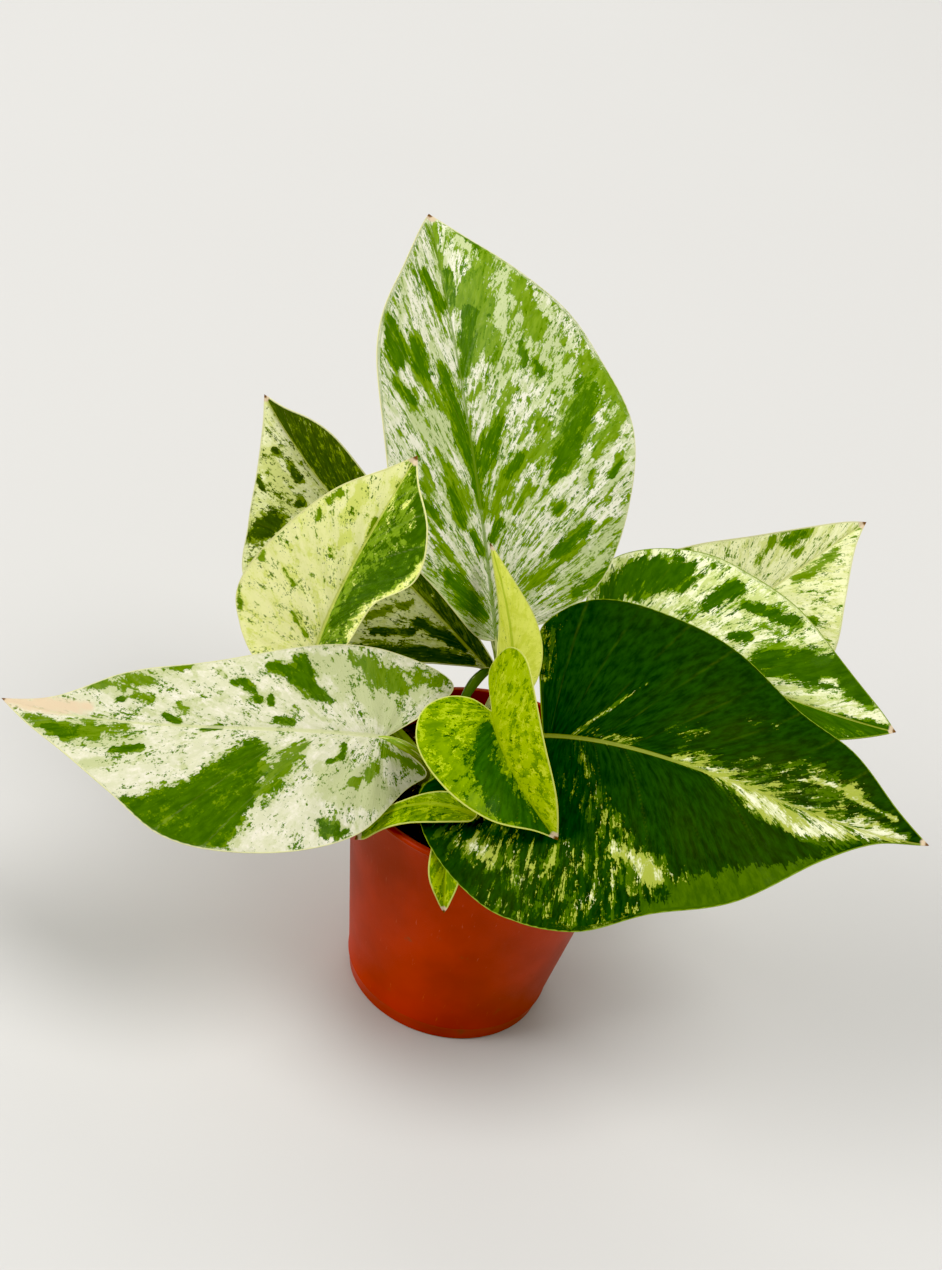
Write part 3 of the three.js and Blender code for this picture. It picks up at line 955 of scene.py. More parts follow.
@dataclass
class BladeMesh:
    """Builds a blade's fine mesh, with its veins, thickness and painted values, in millimetres.

    Crowding draws the grid towards the rib, and the row values lead its rows out along the side veins.
    Quilt is the swell between two side veins, groove the rib's depth above and ridge its height below. A
    blade shorter than full_relief_from has less of all three.
    """

    leaf: Leaf
    large_from: float = 60
    large_grid: tuple[int, int] = (170, 46)
    small_grid: tuple[int, int] = (90, 26)
    crowding: float = 1.5
    row_power: float = 1.6
    row_sweep: float = 0.35
    row_sweep_from: float = 0.3
    full_relief_from: float = 90
    thickness: float = 0.46
    margin_thickness: float = 0.3
    thin_from: float = 0.6
    side_veins: int = 13
    quilt: float = 0.13
    groove: float = 0.3
    ridge: float = 0.8
    rib_width: float = 1.3
    rib_least: float = 0.15
    rib_line: float = 0.55
    rib_taper: float = 0.75
    rib_end: float = 0.93
    worn_tip: float = 3
    worn_most: float = 1.9
    margin_steps: int = 400
    half_seed: float = 40

    def __post_init__(self) -> None:
        """Picks a grid that suits the blade's size."""
        self.blade = Blade(self.leaf)
        self.length = self.blade.length
        self.stations, self.rings = self.large_grid if self.length > self.large_from else self.small_grid

    def flat(self, half: int) -> tuple[Array, Array, Array, Array]:
        """The grid's places on the flat blade.

        Args:
            half: 0 for the left half, 1 for the right.

        Returns:
            Along, out, the share of the margin and the share of the way out to it.
        """
        u = np.linspace(0, 1, self.stations + 1)
        v = np.linspace(0, 1, self.rings + 1) ** self.crowding
        edge = self.blade.margin(half, u)
        start = self.length * u**self.row_power
        bend = 1 + self.row_sweep * np.minimum(1, u / self.row_sweep_from)
        x = start[:, None] + (edge[:, :1] - start[:, None]) * v[None] ** bend[:, None]
        y = edge[:, 1:] * v[None]
        return x, y, np.repeat(u[:, None], len(v), 1), np.repeat(v[None], len(u), 0)

    def levels(self, half: int, x: Array, y: Array) -> tuple[Array, Array]:
        """Paints the marks.

        Args:
            half: 0 for the left half, 1 for the right.
            x: Millimetres along the rib.
            y: Millimetres out from it.

        Returns:
            The levels of dark, green and sage, and how dry the blade is.
        """
        signed = -y if half == 0 else y
        base = np.broadcast_to(np.array(self.leaf.levels[half], float), (*x.shape, 3)).copy()
        dry = self.worn_most * np.clip(1.2 - np.hypot(x - self.length, y) / self.worn_tip, 0, 1)
        for mark in self.leaf.marks:
            share = mark.share(x, signed)
            for k, level in enumerate(mark.tone.value):
                if level is not None:
                    base[..., k] += (level - base[..., k]) * share
            if mark.tone is Tone.DRY:
                dry = np.maximum(dry, share)
        return base, dry

    def half(self, half: int) -> tuple[Array, Array, dict[str, Array]]:
        """Makes one half's two faces.

        Args:
            half: 0 for the left half, 1 for the right.

        Returns:
            The upper points, the lower points and the painted values.
        """
        x, y, u, v = self.flat(half)
        height, count, phase = self.leaf.wave
        swing = height * np.sin(np.pi * u) * np.sin(TURN * (count * u + phase)) * v * v
        share, out = self.blade.streaks(half, x, y)
        fade = smooth(0, 0.12, v) * smooth(1, 0.85, v) * np.sin(np.pi * np.clip(u, 0.02, 0.98)) ** 0.3
        taper = 1 - self.rib_taper * np.clip(x / self.length, 0, 1)
        width = self.rib_width * taper + self.rib_least
        size = min(1.0, self.length / self.full_relief_from)
        rib = size * hump(y, width) * taper * smooth(self.length, self.length * self.rib_end, x)
        skin = swing - self.quilt * size * np.cos(TURN * self.side_veins * share) * fade
        body = self.thickness + (self.margin_thickness - self.thickness) * smooth(self.thin_from, 1, v)
        upper = self.blade.place(half, x, y, skin - self.groove * rib)
        lower = self.blade.place(half, x, y, skin - body - self.ridge * rib)
        edge = self.blade.margin(half, np.linspace(0, 1, self.margin_steps))
        gap = np.min([np.hypot(x - ex, y - ey) for ex, ey in edge], axis=0)
        tones, dry = self.levels(half, x, y)
        seed = np.full(x.shape, self.leaf.seed + self.half_seed * half)
        crest = np.abs(((self.side_veins * share) % 1) - 0.5) * 2
        values = {
            "streak": np.stack([share * reaches(edge)[-1], out, seed], -1),
            "tones": tones,
            "lines": np.stack([gap, y / (width * self.rib_line), 1 - crest], -1),
            "dry": dry,
        }
        return upper, lower, values

    def build(self) -> Body:
        """Joins both halves into one closed blade.

        Returns:
            The blade, with finish 0 on its upper face and 1 on its underside.
        """
        rows, columns = self.stations + 1, self.rings + 1
        count = rows * columns
        points, values, faces, finish = [], [], [], []
        shared = None
        for half in (0, 1):
            upper, lower, painted = self.half(half)
            grid = np.arange(count).reshape(rows, columns) + half * 2 * count
            points += [upper.reshape(-1, 3), lower.reshape(-1, 3)]
            values += [painted, painted]
            if shared is None:
                shared = grid[:, 0].copy()
            grid[:, 0] = shared
            grid[0, :], grid[-1, :] = shared[0], shared[-1]
            under = grid + count
            rim = np.stack([grid[:, -1], under[:, -1]], 1)
            for face, number, flip in ((grid, 0, half == 1), (under, 1, half == 0), (rim, 0, half == 1)):
                loops = np.stack([face[:-1, :-1], face[1:, :-1], face[1:, 1:], face[:-1, 1:]], -1)
                found = [corners(loop, flip) for loop in loops.reshape(-1, 4)]
                found = [loop for loop in found if len(loop) > 2]
                faces += found
                finish += [number] * len(found)
        painted = {}
        for key in values[0]:
            width = values[0][key].shape[2:]
            painted[key] = np.concatenate([v[key].reshape(-1, *width) for v in values])
        return self.compact(Body(np.vstack(points), faces, finish, painted))

    @staticmethod
    def compact(body: Body) -> Body:
        """Drops the points that no face uses.

        Args:
            body: The body with spare points.

        Returns:
            The body without them.
        """
        used = np.unique(np.concatenate([np.array(face) for face in body.faces]))
        place = np.zeros(len(body.points), int)
        place[used] = np.arange(len(used))
        faces = [tuple(int(place[v]) for v in face) for face in body.faces]
        values = {key: value[used] for key, value in body.values.items()}
        return Body(body.points[used], faces, body.finish, values)


@dataclass
class Stalk:
    """A leaf's stalk: winged and grooved low down, swollen under the blade, and run out along the rib.

    Lengths are millimetres. A sink is how deep the centre line lies under the blade: a plain depth, and a
    share of the stalk's radius. The sheath's wings fade between its two shares of the stalk's length.
    """

    leaf: Leaf
    sides: int = 24
    steps: int = 70
    foot_steps: int = 9
    vine_steps: int = 60
    clasp: float = 3
    top_gap: float = 1.2
    top_sink: Pair = (0.5, 0.7)
    tail_sink: Pair = (0.45, 0.85)
    tail_from: float = 2
    tail_reach: float = 13
    tail_share: float = 0.2
    tail_steps: int = 12
    tail_taper: float = 0.72
    easings: int = 3
    girth: float = 1.02
    taper: float = 0.2
    collar: float = 6
    collar_width: float = 3.5
    collar_swell: float = 0.22
    foot_share: float = 0.08
    foot_swell: float = 0.25
    fade_from: float = 0.99
    fade_least: float = 0.25
    sheath: Pair = (0.54, 0.32)
    wing_turn: float = 0.75
    wing_width: float = 0.26
    wing_height: float = 0.55
    groove_width: float = 0.4
    groove_depth: float = 0.3
    groove_least: float = 0.35

    def foot(self) -> Array:
        """Finds the short run from inside the nearest vine to the stalk's start, where it clasps the vine.

        Returns:
            The points of the run, without the stalk's start.
        """
        start, ahead = np.array(self.leaf.stalk[:2], float)
        below = start - (0, 0, self.clasp)
        joints = []
        for vine in VINES:
            curve = Bezier(vine.path)
            line, _ = curve.along(np.linspace(0, curve.length() - self.clasp, self.vine_steps))
            joints.append(line[np.argmin(np.linalg.norm(line - below, axis=1))])
        joint = min(joints, key=lambda point: np.linalg.norm(point - start))
        t = np.linspace(0, 1, self.foot_steps)[:-1, None]
        knee = start - unit(ahead - start) * self.clasp
        return (1 - t) ** 2 * joint + 2 * t * (1 - t) * knee + t**2 * start

    def path(self) -> tuple[Array, Array, float, float]:
        """Leads the stalk from its vine up to the blade and on along the rib.

        Returns:
            The centre line, its millimetres from the stalk's start, the bare stalk's length, and how far
            the stalk runs on under the blade.
        """
        blade, radius = Blade(self.leaf), self.leaf.stalk_radius
        origin = np.zeros(1)
        top = blade.place(0, origin, origin, origin - self.top_sink[0] - self.top_sink[1] * radius)[0]
        curve = Bezier((*self.leaf.stalk, tuple(top)))
        length = curve.length()
        reach = min(self.tail_reach, blade.length * self.tail_share)
        run = np.linspace(self.tail_from, reach, self.tail_steps)
        thin = 1 - self.tail_taper * run / reach
        tail = blade.place(0, run, run * 0, -self.tail_sink[0] - self.tail_sink[1] * radius * thin)
        body, _ = curve.along(np.linspace(0, length - self.top_gap, self.steps))
        foot = self.foot()
        path = np.vstack([foot, body, tail])
        for _ in range(self.easings):
            path[1:-1] = (path[:-2] + 2 * path[1:-1] + path[2:]) / 4
        steps = reaches(path)
        return path, steps - steps[len(foot)], length, reach

    def build(self) -> Body:
        """Sweeps the stalk.

        Returns:
            The closed stalk.
        """
        path, steps, length, reach = self.path()
        share = steps / length
        fade = smooth(1 + reach / length, self.fade_from, share)
        swell = 1 + self.collar_swell * hump(steps - length + self.collar, self.collar_width)
        swell = swell + self.foot_swell * smooth(self.foot_share, 0, share)
        radius = self.leaf.stalk_radius * (self.girth - self.taper * np.clip(share, 0, 1))
        radius = radius * swell * (self.fade_least + (1 - self.fade_least) * fade)
        turn = np.arange(self.sides) * TURN / self.sides
        off = np.minimum(turn, TURN - turn)
        low = smooth(*self.sheath, share)[:, None]
        wings = self.wing_height * hump(off - self.wing_turn, self.wing_width) * low
        groove = self.groove_depth * hump(off, self.groove_width) * fade[:, None]
        groove = groove * (self.groove_least + (1 - self.groove_least) * low)
        ahead = np.subtract(self.leaf.rib[1], self.leaf.rib[0])
        away = unit(np.subtract(self.leaf.stalk[1], self.leaf.stalk[0]))
        hint = ahead - away * (ahead @ away)
        if np.linalg.norm(hint) <= 1:
            hint = (0, 0, 1)
        return sweep(path, radius[:, None] * (1 + wings - groove), tuple(hint))


@dataclass
class LeafMaker:
    """Builds and dresses one leaf."""

    leaf: Leaf

    def build(self) -> None:
        """Makes the blade and the stalk and hangs both on the frame."""
        leaf = self.leaf
        words = leaf.name.replace("_", " ")
        finishes = [leaf.finish.upper(words + " upper face"), leaf.finish.lower(words + " underside")]
        blade = BladeMesh(leaf).build().piece(leaf.name + "_blade", finishes)
        stalk = Stalk(leaf).build().piece(leaf.name + "_stalk", [leaf.stem.material(words + " stalk")])
        install(blade, leaf.name, leaf.slot)
        install(stalk, leaf.name, "vine")


# The rooted cuttings


@dataclass
class Vine:
    """A rooted cutting: a short stem with a swollen joint and the nubs of its aerial roots.

    Lengths are millimetres. Slack, swelling, the ring and the seam are shares of the vine's radius.
    """

    name: str
    radius: float
    path: tuple[Triple, ...]
    joint_drop: float = 5
    slack: float = 0.93
    swelling: float = 1.18
    joint_width: float = 2.2
    ring_gap: float = 2.6
    ring_width: float = 0.35
    ring_depth: float = 0.05
    top_gap: float = 0.4
    top_least: float = 0.05
    sides: int = 28
    steps: int = 80
    flutes: int = 5
    flute_depth: float = 0.025
    seam_turn: float = 1.2
    seam_width: float = 0.35
    seam_depth: float = 0.06
    nubs: int = 5
    nub_sides: int = 8
    nub_steps: int = 9
    nub_drop: float = 1.2
    nub_spread: Pair = (-0.3, 0.3)
    nub_rise: Pair = (-0.6, 1.2)
    nub_seat: float = 0.8
    nub_reach: Pair = (1.2, 2.6)
    nub_radius: float = 0.55
    nub_taper: float = 0.3
    nub_bend: float = 0.9

    def stem(self) -> Body:
        """Makes the stem with its joint, rings and rounded top.

        Returns:
            The closed stem.
        """
        curve = Bezier(self.path)
        length = curve.length()
        steps = np.linspace(0, length - self.top_gap, self.steps)
        path, _ = curve.along(steps)
        above = steps - length + self.joint_drop
        shape = self.slack + (self.swelling - self.slack) * hump(above, self.joint_width)
        shape = shape - self.ring_depth * hump(above - self.ring_gap, self.ring_width)
        shape = shape * np.sqrt(np.clip((length - steps) / self.joint_width, self.top_least, 1))
        turn = np.arange(self.sides) * TURN / self.sides
        flutes = 1 + self.flute_depth * np.cos(self.flutes * turn)
        flutes = flutes - self.seam_depth * hump(turn - self.seam_turn, self.seam_width)
        return sweep(path, self.radius * shape[:, None] * flutes, (1, 0, 0))

    def roots(self) -> Body:
        """Makes the stubby aerial roots round the joint, which bend down.

        Returns:
            All the nubs as one mesh.
        """
        curve = Bezier(self.path)
        draw = np.random.default_rng(len(self.name) + int(10 * self.radius))
        places, axes = curve.along(np.array([curve.length() - self.joint_drop - self.nub_drop]))
        joint, axis = places[0], axes[0]
        t = np.linspace(0, 1, self.nub_steps)[:, None]
        rings = np.repeat(self.nub_radius - self.nub_taper * t, self.nub_sides, 1)
        bodies = []
        for k in range(self.nubs):
            turn = TURN * (k + draw.uniform(*self.nub_spread)) / self.nubs
            out = np.array([math.cos(turn), math.sin(turn), 0])
            out = unit(out - axis * (out @ axis))
            reach = draw.uniform(*self.nub_reach)
            start = joint + out * self.radius * self.nub_seat - axis * draw.uniform(*self.nub_rise)
            path = start + out * reach * t - axis * reach * self.nub_bend * t**2
            bodies.append(sweep(path, rings, (0, 0, 1)))
        return join(bodies)

    def build(self, stem: Material, root: Material) -> None:
        """Makes the stem and its root nubs and hangs them on the frame.

        Args:
            stem: The stem's finish.
            root: The nubs' finish.
        """
        install(self.stem().piece(self.name + "_stem", [stem]), self.name, "vine")
        install(self.roots().piece(self.name + "_root_nubs", [root]), self.name, "vine")


# Pot and soil


@dataclass
class Pot:
    """The tapered nursery pot, in millimetres.

    The rows of outside are heights on the wall, with how far each stands out from the plain cone.
    """

    height: float = 80
    rim_radius: float = 45
    base_radius: float = 31
    wall: float = 1.4
    floor: float = 1.6
    floor_corner: float = 0.8
    floor_middle: float = 12
    base_edge: float = 1
    base_steps: int = 4
    lip_radius: float = 1.1
    lip_steps: int = 10
    outside: tuple[Pair, ...] = (
        (5, 0), (5.5, 0.25), (6.1, 0.25), (6.6, 0), (20, 0), (40, 0), (60, 0), (75.8, 0), (76.7, 0.15)
    )
    inside: Triple = (70, 55, 30)
    holes: int = 8
    hole_radius: float = 3
    hole_circle: float = 19
    hole_sides: int = 40
    sides: int = 160
    sharp: float = 30

    def wall_radius(self, z: float) -> float:
        """The outer wall's radius at height z."""
        return self.base_radius + (self.rim_radius - self.lip_radius - self.base_radius) * z / self.height

    def outline(self) -> list[Triple]:
        """Draws the section from the underside's middle up the outside, over the lip and down to the floor.

        Returns:
            Rows of radius, height and how far the place lies inside the pot (0 or 1).
        """
        base, edge, lip = self.base_radius - self.base_edge, self.base_edge, self.lip_radius
        rows = [(0, 0, 0), (self.floor_middle, 0, 0), (base, 0, 0)]
        for k in range(1, self.base_steps + 1):
            turn = k * math.pi / 2 / self.base_steps
            rows.append((base + edge * math.sin(turn), edge * (1 - math.cos(turn)), 0))
        rows += [(self.wall_radius(z) + out, z, 0) for z, out in self.outside]
        for k in range(self.lip_steps + 1):
            turn = math.pi * (k / self.lip_steps - 0.5)
            out, up = lip * (math.cos(turn) - 1), lip * (math.sin(turn) - 1)
            rows.append((self.rim_radius + out, self.height + up, 0))
        inner = self.rim_radius - lip - self.wall
        rows += [(inner + 0.5, self.height - 0.25, 1), (inner, self.height - 0.9, 1)]
        rows += [(self.wall_radius(z) - self.wall, z, 1) for z in (*self.inside, self.floor + 1)]
        corner = self.wall_radius(self.floor) - self.wall - self.floor_corner
        return rows + [(radius, self.floor, 1) for radius in (corner, self.floor_middle, 0)]

    def body(self) -> Body:
        """Turns the body, without its drain holes.

        Returns:
            The body, with its inner values: 1 inside the pot.
        """
        lathe = Lathe(self.sides)
        inner = []
        for radius, z, inside in self.outline():
            places = [(x, y, z) for x, y in lathe.round(radius)]
            lathe.ring(places)
            inner += [inside] * len(places)
        return lathe.body(inner=np.array(inner, float))

    def cutter(self) -> Body:
        """Makes the upright rods that cut the drain holes.

        Returns:
            The rods as one mesh.
        """
        rods = []
        for x, y in circle(self.holes) * self.hole_circle:
            lathe = Lathe(self.hole_sides)
            for z in (-self.floor, 2 * self.floor):
                lathe.ring([(x + u, y + v, z) for u, v in lathe.round(self.hole_radius)])
            rod = lathe.body()
            low, high = lathe.rings
            rod.faces += [tuple(reversed(low)), tuple(high)]
            rods.append(rod)
        return join(rods)

    def drain(self, piece: bpy.types.Object) -> None:
        """Cuts the drain holes through the floor.

        Args:
            piece: The pot's piece, still without holes.
        """
        rods = self.cutter()
        mesh = bpy.data.meshes.new("drain_cutter")
        mesh.from_pydata((rods.points * MM).tolist(), [], rods.faces)
        cut = piece.modifiers.new("drain", "BOOLEAN")
        cut.object = link("drain_cutter", mesh)
        cut.operation = "DIFFERENCE"
        cut.solver = "EXACT"
        bpy.context.view_layer.update()
        result = bpy.data.meshes.new_from_object(piece.evaluated_get(bpy.context.evaluated_depsgraph_get()))
        bpy.data.objects.remove(cut.object)
        piece.modifiers.clear()
        piece.data = result

    def build(self) -> None:
        """Makes the pot and hangs it on the frame."""
        plastic = PlasticFinish().material("satin terracotta plastic")
        piece = self.body().piece("nursery_pot", [plastic], self.sharp)
        self.drain(piece)
        install(piece, "pot", "pot_plastic")


@dataclass(frozen=True)
class Scatter:
    """A kind of loose lump: how many lie on the soil, and their least and largest half sizes.

    Height is a share of a lump's width and sink a share of its height. Swell and wear are how much the
    coarse and the fine noise dent it, as shares of its size.
    """

    count: int
    sizes: Pair
    height: float = 0.8
    sink: float = 0.35
    size_power: float = 2.2
    swell: float = 0.55
    swell_scale: float = 1.3
    wear: float = 0.25
    wear_scale: float = 3.1
    spread: float = 50
    width_range: Pair = (0.6, 1)
    height_range: Pair = (0.7, 1.2)

    @staticmethod
    def dents(base: Array, shift: Array, scale: float) -> Array:
        """Noise at every point of a ball, from -1 to 1."""
        return np.array([noise.noise(Vector(tuple(p * scale + shift))) for p in base])

    def lump(self, base: Array, draw: np.random.Generator) -> tuple[Array, float]:
        """Shapes one lump.

        Args:
            base: The points of a round ball of radius 1.
            draw: The random draws.

        Returns:
            The lump's points round its own middle, and its half size.
        """
        low, high = self.sizes
        size = low + (high - low) * draw.uniform(0, 1) ** self.size_power
        shift = draw.uniform(-self.spread, self.spread, 3)
        rough = self.swell * self.dents(base, shift, self.swell_scale)
        rough = rough + self.wear * self.dents(base, shift, self.wear_scale)
        lump = base * (1 + rough)[:, None] * size
        lump = lump * (1, draw.uniform(*self.width_range), self.height * draw.uniform(*self.height_range))
        spin = Matrix.Rotation(draw.uniform(*ANY_ANGLE), 3, Vector(draw.normal(size=3)))
        return lump @ np.array(spin), size


@dataclass
class Soil:
    """The peat in the pot, with loose crumbs and perlite on top, in millimetres."""

    pot: Pot
    top: float = 70
    shoulder: float = 1.5
    relief: float = 1.1
    rough: float = 0.55
    edge: float = 3
    foot: float = 1.9
    gap: float = 0.3
    sides: int = 180
    rings: int = 60
    seed: int = 5
    waves: tuple = ((0.35, 0.31, 0.12, 1.3), (0.3, -0.15, 0.45, 0.2), (0.35, 0.9, -0.7, 0.4))
    crumbs: Scatter = Scatter(760, (0.35, 1.7))
    perlite: Scatter = Scatter(95, (0.4, 1.25))
    lump_margin: float = 1.2
    fibres: int = 40
    fibre_steps: int = 14
    fibre_sides: int = 6
    fibre_reach: float = 36
    fibre_length: Pair = (3, 9)
    fibre_radius: Pair = (0.16, 0.07)
    fibre_seed: int = 9
    fibre_bend: Pair = (-0.12, 0.12)
    fibre_lift: float = 0.35
    fibre_swing: float = 0.25
    sharp: float = 80

    def radius(self, z: float) -> float:
        """The soil's radius at height z."""
        return self.pot.wall_radius(z) - self.pot.wall - self.gap

    def height(self, x: float, y: float) -> float:
        """Finds the soil's surface.

        Args:
            x: Millimetres to the right of the pot's middle.
            y: Millimetres behind it.

        Returns:
            The surface's height there.
        """
        fade = min(1, max(0, (self.radius(self.top) - math.hypot(x, y)) / self.edge))
        swell = sum(share * math.sin(ax * x + ay * y + phase) for share, ax, ay, phase in self.waves)
        broad, fine = Vector((x * 0.55, y * 0.55, 3)), Vector((x * 1.3, y * 1.3, 8))
        grit = noise.noise(broad) + 0.6 * noise.noise(fine)
        return self.top + fade * (self.relief * swell + self.rough * grit)

    def ground(self) -> Body:
        """Makes the packed soil from the pot's floor to its uneven top.

        Returns:
            The closed body.
        """
        lathe = Lathe(self.sides)
        lathe.ring([(0, 0, self.foot)])
        for z in (self.foot, self.top - self.shoulder):
            lathe.ring([(x, y, z) for x, y in lathe.round(self.radius(z))])
        for i in range(self.rings + 1):
            places = lathe.round(self.radius(self.top) * (1 - i / self.rings))
            lathe.ring([(x, y, self.height(x, y)) for x, y in places])
        return lathe.body()

    def lumps(self, kind: Scatter, seed: int) -> Body:
        """Scatters loose lumps over the surface.

        Args:
            kind: The kind of lump.
            seed: The draw's seed.

        Returns:
            All the lumps as one mesh.
        """
        draw = np.random.default_rng(seed)
        ball = bpy.data.meshes.new("lump")
        make = bmesh.new()
        bmesh.ops.create_icosphere(make, subdivisions=2, radius=1)
        make.to_mesh(ball)
        base = np.array([tuple(v.co) for v in ball.vertices])
        shape = [tuple(p.vertices) for p in ball.polygons]
        bodies = []
        for _ in range(kind.count):
            turn, reach = draw.uniform(0, TURN), math.sqrt(draw.uniform(0, 1))
            radius = reach * (self.radius(self.top) - self.lump_margin)
            x, y = radius * math.cos(turn), radius * math.sin(turn)
            lump, size = kind.lump(base, draw)
            rise = self.height(x, y) + size * kind.height * kind.sink
            bodies.append(Body(lump + (x, y, rise), shape, [0] * len(shape)))
        return join(bodies)

    def strands(self) -> Body:
        """Scatters the loose brown peat fibres.

        Returns:
            All the fibres as one mesh.
        """
        draw = np.random.default_rng(self.seed + self.fibre_seed)
        taper = np.linspace(*self.fibre_radius, self.fibre_steps)[:, None]
        rings = np.repeat(taper, self.fibre_sides, 1)
        bodies = []
        for _ in range(self.fibres):
            turn, radius = draw.uniform(*ANY_ANGLE), math.sqrt(draw.uniform(0, 1)) * self.fibre_reach
            x, y = radius * math.cos(turn), radius * math.sin(turn)
            heading, length = draw.uniform(*ANY_ANGLE), draw.uniform(*self.fibre_length)
            bend = draw.uniform(*self.fibre_bend)
            path = []
            for _ in range(self.fibre_steps):
                lift = self.fibre_lift + self.fibre_swing * math.sin(4 * heading)
                path.append((x, y, self.height(x, y) + lift))
                x += math.cos(heading) * length / (self.fibre_steps - 1)
                y += math.sin(heading) * length / (self.fibre_steps - 1)
                heading += bend
            bodies.append(sweep(np.array(path), rings, (0, 0, 1)))
        return join(bodies)

    def build(self) -> None:
        """Makes the ground, crumbs, grains and fibres and hangs them on the frame."""
        peat = EarthFinish(paint(66, 48, 38), paint(22, 15, 12)).material("moist peat")
        crumb = EarthFinish(paint(84, 60, 44), paint(28, 19, 14), 1300).material("peat crumbs")
        perlite = EarthFinish(paint(235, 232, 224), paint(178, 170, 158), 1500, 0.8, 0.0003)
        fibre = EarthFinish(paint(128, 92, 60), paint(70, 46, 28), 1800).material("peat fibres")
        pieces = (
            (self.ground(), "packed_peat", peat),
            (self.lumps(self.crumbs, self.seed), "peat_crumbs", crumb),
            (self.lumps(self.perlite, self.seed + 1), "perlite_grains", perlite.material("perlite")),
            (self.strands(), "peat_fibre_strands", fibre),
        )
        for body, name, finish in pieces:
            install(body.piece(name, [finish], self.sharp), "soil", "soil")


# The plant

VINES = (
    Vine("vine_back", 3, ((0, 12, 58), (-2, 12, 68), (-5, 13, 76), (-8, 15, 84))),
    Vine("vine_right", 3, ((16, 8, 58), (17, 9, 68), (18, 10, 78), (20, 11, 86))),
    Vine("vine_left", 2.8, ((-16, -4, 58), (-17, -4, 64), (-18, -5, 71), (-20, -6, 78))),
    Vine("vine_front", 2.6, ((2, -14, 58), (1, -15, 66), (0, -16, 74), (-2, -17, 82))),
)


# The finishes of the leaves

MARBLED = LeafFinish()
BRIGHT_MARBLED = replace(
    MARBLED,
    cream=paint(255, 252, 234),
    sage=paint(206, 218, 160),
    green=paint(132, 166, 42),
    dark=paint(82, 128, 8),
    deep=paint(60, 106, 4),
    cell=1.6,
    flecks=0.085,
    ragged=0.8,
    glow=0.14,
)
WARM_MARBLED = replace(
    MARBLED,
    cream=paint(247, 240, 228),
    sage=paint(196, 202, 152),
    green=paint(112, 142, 34),
    dark=paint(74, 114, 16),
    deep=paint(52, 90, 10),
    rib=paint(210, 214, 160),
    cell=1.7,
    length=1.9,
    loose=0.55,
    flecks=0.085,
    mist=0.2,
    ragged=0.5,
)
SHADED_MARBLED = replace(
    WARM_MARBLED,
    cream=paint(252, 251, 214),
    sage=paint(214, 220, 136),
    green=paint(128, 150, 40),
    dark=paint(62, 88, 8),
    deep=paint(40, 62, 4),
    rib=paint(186, 196, 96),
    glow=0.12,
    flecks=0.09,
)
YELLOW_MARBLED = replace(
    MARBLED,
    cream=paint(255, 255, 186),
    sage=paint(228, 236, 124),
    green=paint(126, 160, 34),
    dark=paint(64, 106, 10),
    deep=paint(40, 80, 6),
    rib=paint(200, 210, 96),
    margin=paint(232, 232, 160),
    cell=1.7,
    length=2.2,
    loose=0.5,
    flecks=0.07,
    ragged=0.9,
    glow=0.03,
)
CREAMY_BACK = replace(
    MARBLED,
    cream=paint(250, 251, 200),
    sage=paint(216, 224, 140),
    rib=paint(212, 216, 140),
    cell=1.1,
    glow=0.12,
    flecks=0.06,
)
YOUNG = replace(
    MARBLED,
    cream=paint(206, 218, 62),
    sage=paint(168, 192, 34),
    green=paint(130, 162, 14),
    # The dark and deep greens are partly the young blades' own and partly painted shade, set darker for the
    # shaded fold of the centre leaf.
    dark=paint(50, 102, 5),
    deep=paint(22, 70, 3),
    rib=paint(168, 190, 46),
    margin=paint(208, 214, 110),
    under=paint(186, 200, 84),
    cell=1.4,
    length=2.2,
    loose=0.55,
    flecks=0.02,
    glow=0.2,
    gloss=0.42,
)
SPEAR = replace(
    YOUNG, glow=0.12, cream=paint(226, 232, 106), sage=paint(206, 216, 76), green=paint(176, 190, 52),
)
DARK_GREEN = replace(
    MARBLED,
    cream=paint(246, 246, 212),
    sage=paint(164, 176, 70),
    green=paint(72, 106, 8),
    # The dark and deep greens are partly the blade's own and partly painted shade, set darker for the right
    # leaf's base, which lies in the shadow of the leaves above.
    dark=paint(24, 66, 2),
    deep=paint(6, 38, 1),
    rib=paint(172, 182, 78),
    margin=paint(128, 152, 50),
    gloss=0.45,
    shine=0.08,
    glow=0.12,
    cell=1.7,
    length=3.6,
    loose=0.35,
    flecks=-0.5,
    rib_strength=0.6,
)
CREAM_STRIPED = StemFinish(stripes=0.9)
GREEN_STALK = StemFinish(green=paint(92, 128, 26), deep=paint(56, 92, 14), stripes=0.15)
YOUNG_STALK = StemFinish(
    green=paint(160, 184, 54), deep=paint(116, 150, 24), cream=paint(216, 220, 130), stripes=0.4,
)

